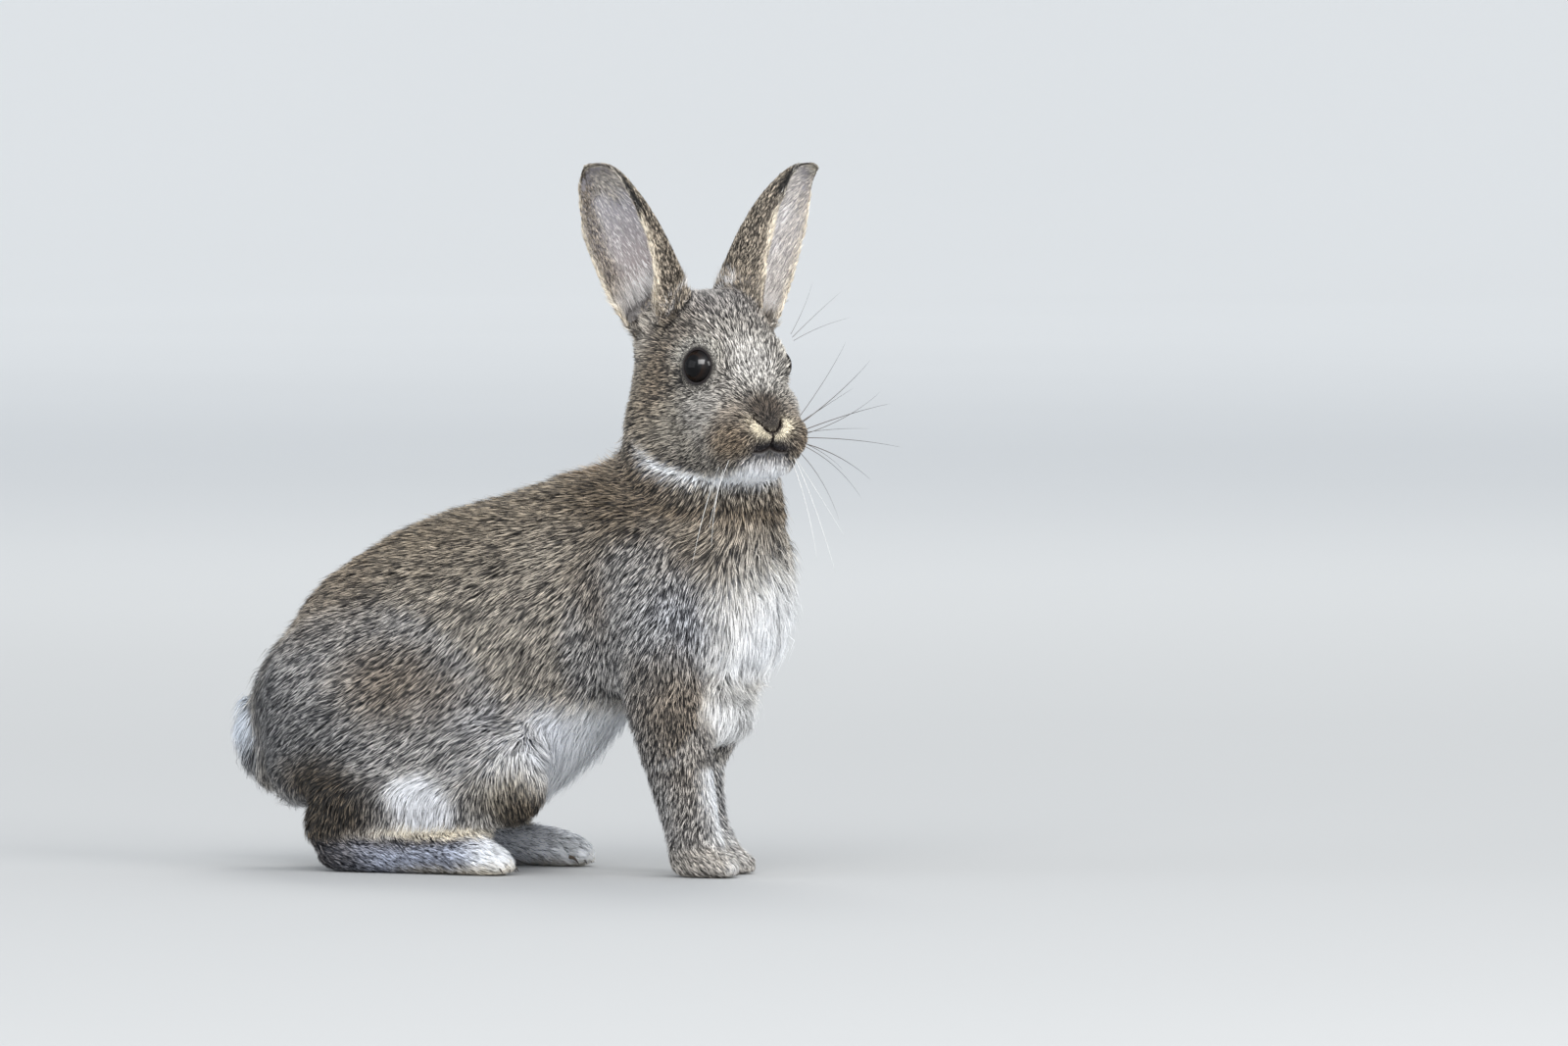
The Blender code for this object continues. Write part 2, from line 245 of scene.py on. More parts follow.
class Graph:
    """The nodes of one material."""

    def __init__(self, name: str) -> None:
        """Makes the material with its shader and output.

        Args:
            name: What the material is called.
        """
        self.material = bpy.data.materials.new(name)
        self.material.use_nodes = True
        self.tree = self.material.node_tree
        self.shader = self.tree.nodes["Principled BSDF"]

    def node(self, kind: str, settings: Optional[dict] = None, inputs: Optional[dict] = None,
             output: Union[int, str] = 0) -> Sock:
        """Adds a node.

        Args:
            kind: The node's type.
            settings: Its own settings, set first.
            inputs: Values or links of its sockets, by name or number.
            output: Which output to return.

        Returns:
            That output.
        """
        made = self.tree.nodes.new(kind)
        for name, value in (settings or {}).items():
            setattr(made, name, value)
        for name, value in (inputs or {}).items():
            self.feed(made.inputs[name], value)
        return Sock(self, made.outputs[output])

    def feed(self, socket: NodeSocket, value: Link) -> None:
        """Links a socket, or sets its value.

        Args:
            socket: What is fed.
            value: A link, a number or a colour.
        """
        if isinstance(value, Sock):
            self.tree.links.new(value.socket, socket)
        else:
            socket.default_value = value

    def attribute(self, name: str, output: str = "Fac") -> Sock:
        """Returns a number or a colour that the mesh carries."""
        return self.node("ShaderNodeAttribute", {"attribute_name": name}, output=output)

    def split(self, vector: Sock) -> tuple:
        """Returns the three numbers of a vector."""
        parts = self.node("ShaderNodeSeparateXYZ", inputs={0: vector}).socket.node
        return tuple(Sock(self, out) for out in parts.outputs)

    def carried(self, name: str) -> tuple:
        """Returns the three numbers of a vector that the mesh carries."""
        return self.split(self.attribute(name, "Vector"))

    def mix(self, share: Link, first: Link, second: Link) -> Sock:
        """Returns a colour between two."""
        return self.node("ShaderNodeMix", {"data_type": "RGBA"}, {0: share, 6: first, 7: second}, 2)

    def shade(self, colour: Sock, amount: Link) -> Sock:
        """Returns a colour made lighter or darker."""
        return self.node("ShaderNodeVectorMath", {"operation": "SCALE"}, {0: colour, "Scale": amount})

    def noise(self, size: float, detail: float) -> Sock:
        """Returns random values from 0 to 1 whose patches are a given size, in mm."""
        where = self.node("ShaderNodeTexCoord", output="Object")
        values = {"Vector": where, "Scale": 1 / (size * MM), "Detail": detail}
        return self.node("ShaderNodeTexNoise", {}, values)

    def bump(self, height: Sock, strength: float, distance: float) -> Sock:
        """Returns a surface normal with small relief, whose depth is given in mm."""
        values = {"Strength": strength, "Distance": distance * MM, "Height": height}
        return self.node("ShaderNodeBump", {}, values)

    def surface(self, **values: Link) -> Material:
        """Sets the shader's sockets, with _ for a space in their names, and returns the material."""
        for name, value in values.items():
            self.feed(self.shader.inputs[name.replace("_", " ")], value)
        return self.material


@dataclass(frozen=True)
class FurFinish:
    """Hair that goes from a dark root, its slate base deepened by painted shade, through a pale band to a tip
    that may be black.
    """

    name: str
    rough: float = 0.55
    foot_shade: float = 0.28  # how light the foot of a hair is: its slate base and painted shade from the hairs above it
    foot_end: float = 0.5  # where along a hair its foot is over
    band_edge: float = 0.16  # how softly the band starts
    ragged: float = 0.34  # how far the bands of neighbours differ
    tip: tuple = (0.8, 0.92)  # where a black tip starts and where it is full

    def material(self) -> Material:
        """Returns the material, which reads each hair's colours from its mesh."""
        g = Graph(self.name)
        along = g.split(g.node("ShaderNodeUVMap", {"uv_map": "strand"}))[1]
        share, tick, light = g.carried("traits")
        one, two, three = g.carried("chance")
        start = (1 - share) + (one - 0.5) * self.ragged
        band = along.step(start - self.band_edge, start + self.band_edge)
        tip = along.step(*self.tip) * (tick - two).step(-0.02, 0.02)
        colour = g.mix(band * (1 - tip), g.attribute("dark", "Color"), g.attribute("pale", "Color"))
        # painted shade: the foot of each hair is darkened as if the coat over it shaded it, on top of its
        # slate base
        foot = along.step(0.0, self.foot_end) * (1 - self.foot_shade) + self.foot_shade
        colour = g.shade(colour, foot * light * (three * 0.24 + 0.88))
        return g.surface(Base_Color=colour, Roughness=self.rough, Specular_IOR_Level=0.35)


@dataclass(frozen=True)
class SkinFinish:
    """Skin with the coat's colours, darkened as underfur and painted shade, where fur grows, and bare skin at
    the nose, lids and inside the ears.
    """

    name: str
    rough: float = 0.7
    wet_gloss: float = 0.35  # how much smoother it is where it is wet
    vein: tuple = (0.42, 0.2, 0.19, 1)
    vein_size: float = 3.2

    def material(self) -> Material:
        """Returns the material, which reads its colours from the mesh."""
        g = Graph(self.name)
        bare, wet, blood = g.carried("bareness")
        down = g.noise(0.5, 3.0)
        pores = g.noise(0.22, 2.0)
        mottle = g.noise(6.0, 3.0)
        coat = g.shade(g.attribute("tone", "Color"), down * 0.9 + 0.45)
        skin = g.shade(g.attribute("hide", "Color"), mottle * 0.30 + 0.85)
        wander = {"Scale": 1 / (self.vein_size * MM), "Detail": 2.0, "Distortion": 1.6}
        veins = g.node("ShaderNodeTexNoise", {}, wander)
        vein = (1 - (veins - 0.5).math("ABSOLUTE").step(0.0, 0.05)) * blood
        skin = g.mix(vein * 0.35, skin, self.vein)
        relief = g.bump(down * (1 - bare) + pores * bare * 0.4, 0.5, 0.25)
        return g.surface(Base_Color=g.mix(bare, coat, skin), Roughness=self.rough - wet * self.wet_gloss,
                         Specular_IOR_Level=0.2, Normal=relief)


@dataclass(frozen=True)
class EyeFinish:
    """A wet dark eye: brown iris, wide black pupil, and a painted highlight where its clear coat is made
    stronger.
    """

    name: str
    iris: tuple = (0.016, 0.008, 0.005, 1)
    iris_edge: tuple = (0.004, 0.003, 0.003, 1)
    pupil: tuple = (0.0015, 0.0015, 0.002, 1)
    white: tuple = (0.12, 0.08, 0.07, 1)
    pupil_edge: tuple = (0.56, 0.66)  # angles from the axis, in radians
    iris_fade: tuple = (0.55, 1.0)
    white_edge: tuple = (1.12, 1.26)
    # a bluish tint of the clear coat, a painted sky colour for the highlight
    film: tuple = (0.66, 0.79, 1.0, 1)
    film_least: float = 0.16  # how strong the clear coat is away from the painted highlight
    glint_film: float = 0.8  # how much stronger the clear coat is made round the painted highlight

    def material(self) -> Material:
        """Returns the material, which reads the place on the eye, and the spot of painted highlight, from the
        mesh.
        """
        g = Graph(self.name)
        # wet is the spot of painted highlight: the clear coat is made strongest where the key light's
        # reflection falls
        angle, turn, wet = g.carried("gaze")
        rays = {"W": turn * 22.0, "Scale": 1.0, "Detail": 3.0}
        streak = g.node("ShaderNodeTexNoise", {"noise_dimensions": "1D"}, rays)
        iris = g.shade(g.mix(angle.step(*self.iris_fade), self.iris, self.iris_edge), streak * 1.2 + 0.4)
        colour = g.mix(angle.step(*self.pupil_edge), self.pupil, iris)
        colour = g.mix(angle.step(*self.white_edge), colour, self.white)
        return g.surface(Base_Color=colour, Roughness=0.35, Specular_IOR_Level=0.0,
                         Coat_Weight=wet * self.glint_film + self.film_least, Coat_IOR=1.9,
                         Coat_Roughness=0.02, Coat_Tint=self.film)


@dataclass(frozen=True)
class HornFinish:
    """Horn or a stiff hair, from one colour at the root to another at the tip."""

    name: str
    root: tuple
    tip: tuple
    rough: float = 0.35

    def material(self) -> Material:
        """Returns the material, which reads how far along it is from the mesh."""
        g = Graph(self.name)
        along = g.attribute("along")
        grain = g.noise(0.35, 2.0)
        colour = g.shade(g.mix(along.step(0.05, 0.95), self.root, self.tip), grain * 0.5 + 0.75)
        return g.surface(Base_Color=colour, Roughness=self.rough, Normal=g.bump(grain, 0.3, 0.04))


@dataclass(frozen=True)
class StudioFinish:
    """Matt pale paper for the floor, whose backdrop gives off painted light far out."""

    name: str
    near: tuple = (0.5, 0.505, 0.51, 1)
    far: tuple = (0.72, 0.73, 0.74, 1)
    painted_glow: tuple = (0.2, 0.2, 0.195, 1)  # painted light that the backdrop gives off far out, though it is no lamp

    def material(self) -> Material:
        """Returns the material, which grows paler with the distance in metres and gives off painted light far
        out.
        """
        g = Graph(self.name)
        place = g.node("ShaderNodeTexCoord", output="Object")
        out = g.node("ShaderNodeVectorMath", {"operation": "LENGTH"}, {0: place}, "Value")
        colour = g.mix(out.step(0.6, 5.0), self.near, self.far)
        painted_glow = g.mix(out.step(1.5, 8.0), (0.0, 0.0, 0.0, 1), self.painted_glow)
        return g.surface(Base_Color=g.shade(colour, g.noise(900.0, 2.0) * 0.04 + 0.98), Roughness=0.95,
                         Emission_Color=painted_glow, Emission_Strength=1.0, Specular_IOR_Level=0.1)


# -------- anatomy


class Side(Enum):
    """One side of the animal, with the sign of its +Y axis."""

    RIGHT = -1
    LEFT = 1

    @property
    def word(self) -> str:
        """The side's name in a node's name."""
        return self.name.lower()


class Place(Enum):
    """Which axes a point is given in."""

    BODY = "body"
    HEAD = "head"


@dataclass
class Axes:
    """A place with its own axes."""

    origin: Array
    turn: Array  # columns are the axes

    def out(self, points: Array) -> Array:
        """Takes points from these axes to the body's."""
        return self.origin + np.asarray(points, float) @ self.turn.T

    def inside(self, points: Array) -> Array:
        """Takes points from the body's axes to these."""
        return (points - self.origin) @ self.turn


def solid_box(node: str) -> Array:
    """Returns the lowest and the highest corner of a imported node, in mm."""
    return np.array(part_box(node)) / MM


def turned(axis: str, degrees: float) -> Array:
    """Returns the 3 by 3 matrix of a turn about an axis."""
    return np.array(Matrix.Rotation(math.radians(degrees), 3, axis))


@dataclass(frozen=True)
class Pose:
    """How the ear and the eye of one side are set on the head, in mm and degrees."""

    ear_root: tuple  # ahead of, beside and above the nose tip
    ear_lean: float  # outwards
    ear_opening: float  # how far the cup is turned outwards
    ear_length: float
    tip_back: float  # how far the ear's tip leans back
    eye_deeper: float  # how much further in than its solid the eyeball sits
    gaze: float  # how far the eye looks ahead of straight out


POSES = {Side.RIGHT: Pose((-50.0, 12.5, 33.0), 31.0, 66.0, 57.6, 1.7, 0.0, 24.0),
         Side.LEFT: Pose((-50.0, 10.3, 33.0), 33.4, 40.0, 59.6, 0.0, 2.6, 3.0)}


@dataclass
class Anatomy:
    """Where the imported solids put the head, ears and eyes, and what the flesh is."""

    nodes: dict
    eye_from_nose: tuple = (-23.5, 21.0)  # ahead of and above the nose tip
    ear_back: float = -3.0
    head: Axes = field(init=False)
    ears: dict = field(init=False)
    eyes: dict = field(init=False)
    eye_radius: float = field(init=False)

    def __post_init__(self) -> None:
        """Reads the eyes' boxes and sets the head's and the ears' axes."""
        boxes = {side: solid_box("eye_" + side.word) for side in Side}
        middle = np.mean([box.mean(axis=0) for box in boxes.values()], axis=0)
        self.eyes = {side: box.mean(axis=0) for side, box in boxes.items()}
        self.eye_radius = float((boxes[Side.RIGHT][1] - boxes[Side.RIGHT][0]).mean() / 2)
        left = unit(self.eyes[Side.LEFT] - self.eyes[Side.RIGHT])
        up = np.array([0.0, 0.0, 1.0])
        forward = unit(np.cross(left, up))
        turn = np.column_stack([forward, left, up])
        back, rise = self.eye_from_nose
        self.head = Axes(middle - forward * back - up * rise, turn)
        for side in Side:
            self.eyes[side] = self.eyes[side] - left * (side.value * POSES[side].eye_deeper)
        self.ears = {side: self.ear_axes(side) for side in Side}

    def ear_axes(self, side: Side) -> Axes:
        """Places an ear.

        Args:
            side: Which ear.

        Returns:
            Its axes: +Z from base to tip, +X to where its cup opens.
        """
        y, pose = side.value, POSES[side]
        turn = (self.head.turn @ turned("X", -y * pose.ear_lean) @ turned("Y", self.ear_back)
                @ turned("Z", y * pose.ear_opening))
        return Axes(self.head.out(np.array(pose.ear_root) * (1, y, 1)), turn)

    @property
    def ball(self) -> float:
        """The radius that the lids close round, a little less than the solid's."""
        return self.eye_radius - 0.3

    @property
    def flesh(self) -> list:
        """The names of the nodes that the skin replaces."""
        return [name for name in sorted(self.nodes) if not name.startswith("eye_")]


@dataclass(frozen=True)
class Tone:
    """The colours of a patch of coat."""

    pale: tuple
    dark: tuple
    share: float = 0.45  # how much of a hair is pale
    tick: float = 0.5  # how many hairs have a black tip


@dataclass(frozen=True)
class Fur:
    """How hair grows on a patch, in mm. None leaves what the patch has."""

    length: Optional[float] = None
    depth: Optional[float] = None  # from the skin to the tips
    density: Optional[float] = None  # hairs to a square mm
    width: Optional[float] = None
    clump: Optional[float] = None  # how far tips gather, 0 to 1
    lift: Optional[float] = None  # how far stray tips stand off
    lie: Optional[tuple] = None  # which way it lies
    sink: Optional[float] = None  # how much further in than the depth the skin is


FUR_NUMBERS = ("length", "depth", "density", "width", "clump", "lift", "sink")


@dataclass(frozen=True)
class Zone:
    """A soft-edged egg in space where the coat changes, mirrored to the other side of the middle."""

    centre: tuple
    radii: tuple
    tone: Optional[Tone] = None
    fur: Optional[Fur] = None
    place: Place = Place.BODY
    soft: float = 0.45  # width of the edge, as a share of the radii
    most: float = 1.0
    only: Union[str, tuple, None] = None  # only on nodes whose names start so

    def share(self, points: Array, head: Axes) -> Array:
        """How far each point is in the zone.

        Args:
            points: Points in the body's axes.
            head: The head's axes.

        Returns:
            Numbers from 0 outside to `most` inside.
        """
        if self.place is Place.HEAD:
            points = head.inside(points)
        best = np.zeros(len(points))
        for mirror in (1, -1) if self.centre[1] else (1,):
            far = np.linalg.norm((points - np.array(self.centre) * (1, mirror, 1)) / self.radii, axis=1)
            best = np.maximum(best, ease(far, 1 + self.soft, 1 - self.soft))
        return best * self.most


# the colours of the coat
BACK = Tone((0.5, 0.41, 0.3), (0.026, 0.021, 0.018), 0.38, 0.66)
FLANK = Tone((0.64, 0.58, 0.5), (0.026, 0.024, 0.025), 0.41, 0.6)
GREY = Tone((0.68, 0.655, 0.63), (0.026, 0.027, 0.033), 0.4, 0.6)
UMBER = Tone((0.45, 0.35, 0.25), (0.016, 0.013, 0.011), 0.34, 0.68)
DEEP = Tone((0.41, 0.32, 0.225), (0.016, 0.013, 0.012), 0.35, 0.7)
SLATE = Tone((0.4, 0.395, 0.39), (0.018, 0.019, 0.024), 0.3, 0.66)
DUSK = Tone((0.54, 0.58, 0.7), (0.085, 0.093, 0.125), 0.5, 0.26)
RUFOUS = Tone((0.52, 0.34, 0.19), (0.05, 0.03, 0.018), 0.48, 0.36)
TAN = Tone((0.56, 0.435, 0.29), (0.055, 0.038, 0.025), 0.46, 0.4)
CREAM = Tone((0.8, 0.72, 0.58), (0.3, 0.24, 0.17), 0.68, 0.05)
WHITE = Tone((0.93, 0.95, 0.98), (0.52, 0.55, 0.62), 0.84, 0.0)
BLUE = Tone((0.8, 0.82, 0.88), (0.017, 0.019, 0.028), 0.4, 0.72)
HOCK = Tone((0.22, 0.165, 0.11), (0.01, 0.009, 0.008), 0.26, 0.72)
FACE = Tone((0.56, 0.51, 0.44), (0.02, 0.018, 0.018), 0.4, 0.66)
BROW = Tone((0.76, 0.71, 0.65), (0.022, 0.019, 0.02), 0.43, 0.62)
BLACK = Tone((0.055, 0.048, 0.042), (0.012, 0.011, 0.011), 0.3, 0.7)

NOSE_WING = Tone((0.98, 0.88, 0.68), (0.6, 0.48, 0.32), 0.85, 0.0)
LIPS = Tone((0.036, 0.031, 0.038), (0.009, 0.008, 0.01), 0.35, 0.3)
EYE_RING = Tone((0.7, 0.67, 0.6), (0.07, 0.064, 0.062), 0.56, 0.3)
EAR_BACK = Tone((0.66, 0.56, 0.44), (0.034, 0.027, 0.023), 0.44, 0.56)
EAR_INSIDE = Tone((0.94, 0.91, 0.9), (0.5, 0.46, 0.46), 0.8, 0.0)
EAR_INNER_TIP = Tone((0.8, 0.735, 0.66), (0.2, 0.165, 0.145), 0.58, 0.22)
EAR_BAND = Tone((0.66, 0.56, 0.45), (0.045, 0.034, 0.03), 0.46, 0.55)
EAR_RIM = Tone((0.96, 0.87, 0.72), (0.45, 0.36, 0.27), 0.78, 0.0)
EAR_END = Tone((0.94, 0.88, 0.76), (0.4, 0.33, 0.26), 0.7, 0.0)

# the fur and the colours of each part, by how its nodes' names start
REGIONS = {
    "trunk": (Fur(8.5, 4.4, 6.4, 0.26, 0.55, 1.0, (-1, 0, -0.45)), FLANK),
    "neck": (Fur(7.6, 4.0, 6.6, 0.25, 0.52, 1.0, (-0.65, 0, -0.75)), FLANK),
    "thigh": (Fur(8.2, 4.4, 6.4, 0.26, 0.55, 1.0, (-0.75, 0, -0.65)), GREY),
    "shoulder": (Fur(7.2, 3.9, 6.4, 0.26, 0.55, 1.0, (-0.3, 0, -0.95)), GREY),
    "shank": (Fur(6.6, 3.4, 6.4, 0.26, 0.5, 1.0, (-0.15, 0, -1)), GREY),
    "forearm": (Fur(4.8, 2.2, 7.4, 0.24, 0.45, 1.0, (-0.05, 0, -1)), GREY),
    "forepaw": (Fur(3.6, 1.3, 7.0, 0.25, 0.4, 0.9, (0.9, 0, -0.6)),
                Tone((0.62, 0.58, 0.53), (0.1, 0.09, 0.085), 0.52, 0.3)),
    "hind_foot": (Fur(4.4, 1.5, 6.4, 0.26, 0.45, 0.9, (1.0, 0, -0.25)), DUSK),
    "tail": (Fur(10.0, 3.8, 7.0, 0.26, 0.5, 2.6, (-0.55, 0, 0.65), -1.8), WHITE),
    "head": (Fur(4.7, 2.1, 8.8, 0.235, 0.45, 0.9, None), FACE),
    "ear": (Fur(2.8, 0.75, 7.4, 0.23, 0.35, 0.8, None), FACE),
}


def on_head(*zones: Zone) -> tuple:
    """Returns zones whose places are in the head's axes."""
    return tuple(replace(zone, place=Place.HEAD) for zone in zones)


LEGS = ("shoulder", "forearm", "forepaw")
FEET = ("hind_foot_right", "hind_foot_left", "forepaw_right", "forepaw_left")
FUR_ZONES = (
    Zone((84, 0, 88), (17, 34, 26), fur=Fur(12.5, 5.0, 6.0, 0.26, 0.62, 2.2, (0.1, 0, -1), 1.6)),
    Zone((78, 0, 62), (12, 30, 10), fur=Fur(10.0, 4.6, 6.4, 0.26, 0.55, 2.4, (-0.2, 0, -1), 4.6)),
    Zone((86, 0, 52), (12, 30, 12), fur=Fur(8.5, 4.2, lift=2.2, lie=(-0.35, 0, -1), sink=8.8),
         only="trunk"),
    Zone((74, 0, 122), (18, 30, 10), fur=Fur(8.0, 4.2, 6.6, 0.25, 0.5, 1.4, (-0.3, 0, -1))),
    Zone((10, 0, 38), (42, 30, 13), fur=Fur(11.0, 4.6, 5.6, 0.26, 0.45, 1.8, (-0.25, 0, -1))),
    Zone((-90, 0, 45), (16, 40, 30), fur=Fur(10.0, 4.8, lift=1.6, lie=(-0.25, 0, -1))),
    Zone((38, 0, 124), (22, 22, 12), fur=Fur(9.5, 4.8, clump=0.55, lift=1.6, lie=(-1, 0, -0.6))),
    Zone((60, 22, 38), (17, 14, 18), fur=Fur(5.2, 2.6, 7.2, 0.24, 0.45, 1.0, (-0.05, 0, -1)), soft=0.35),
    Zone((45, 0, 92), (16, 60, 22), fur=Fur(lie=(-0.55, 0, -0.85)), most=0.8),
    Zone((5, 0, 75), (34, 60, 24), fur=Fur(lie=(-0.62, 0, -0.78)), most=0.9),
    Zone((-48, 0, 48), (34, 60, 20), fur=Fur(lie=(-0.85, 0, -0.5)), most=0.8),
    Zone((22, 34, 42), (13, 14, 12), fur=Fur(9.5, 3.8, lie=(0.1, 0, -1))),
    Zone((12, 34, 27), (13, 16, 12), fur=Fur(6.5, 3.2, lie=(0.25, 0, -1))),
    Zone((72, 14, 50), (6, 14, 11), fur=Fur(7.0, 3.0, lift=1.5, lie=(0.1, 0, -1)), only=LEGS),
    Zone((62, 20, 50), (12, 16, 22), fur=Fur(clump=0.5, lie=(0.02, 0, -1)), only=LEGS),
    Zone((4, 38, 8), (12, 16, 9), fur=Fur(5.4, 1.6, 6.4), only="hind"),
) + on_head(
    Zone((-33, 0, 44), (15, 14, 9), fur=Fur(5.4, 2.4, 7.4)),
    Zone((-48, 14, 34), (9, 13, 11), fur=Fur(7.5, 2.6, 6.8, 0.26, lift=1.3), only="head"),
    Zone((-42, 22, 2), (15, 9, 15), fur=Fur(6.4, 3.0, 6.0, 0.28, 0.5, 1.1)),
    Zone((-28, 10, -13), (22, 14, 6), fur=Fur(6.0, 2.6, 6.4, 0.27, 0.5, 1.4)),
    Zone((-11, 0, 14), (11, 9, 9), fur=Fur(2.9, 1.1, 10.5, 0.22, 0.35, 0.8)),
    Zone((-5, 8, -1), (8, 8, 7), fur=Fur(3.3, 1.2, 9.5, 0.22, 0.35, 0.9)),
    Zone((-8, 0, -10.5), (8, 12, 4), fur=Fur(5.0, 1.6, 9.0, 0.22, 0.4, 1.8, (-0.4, 0, -1))),
    Zone((-1.5, 0, 1.5), (3.5, 5.5, 4.5), fur=Fur(1.0, 0.45, 13.0, 0.17, 0.1, 0.7)),
)

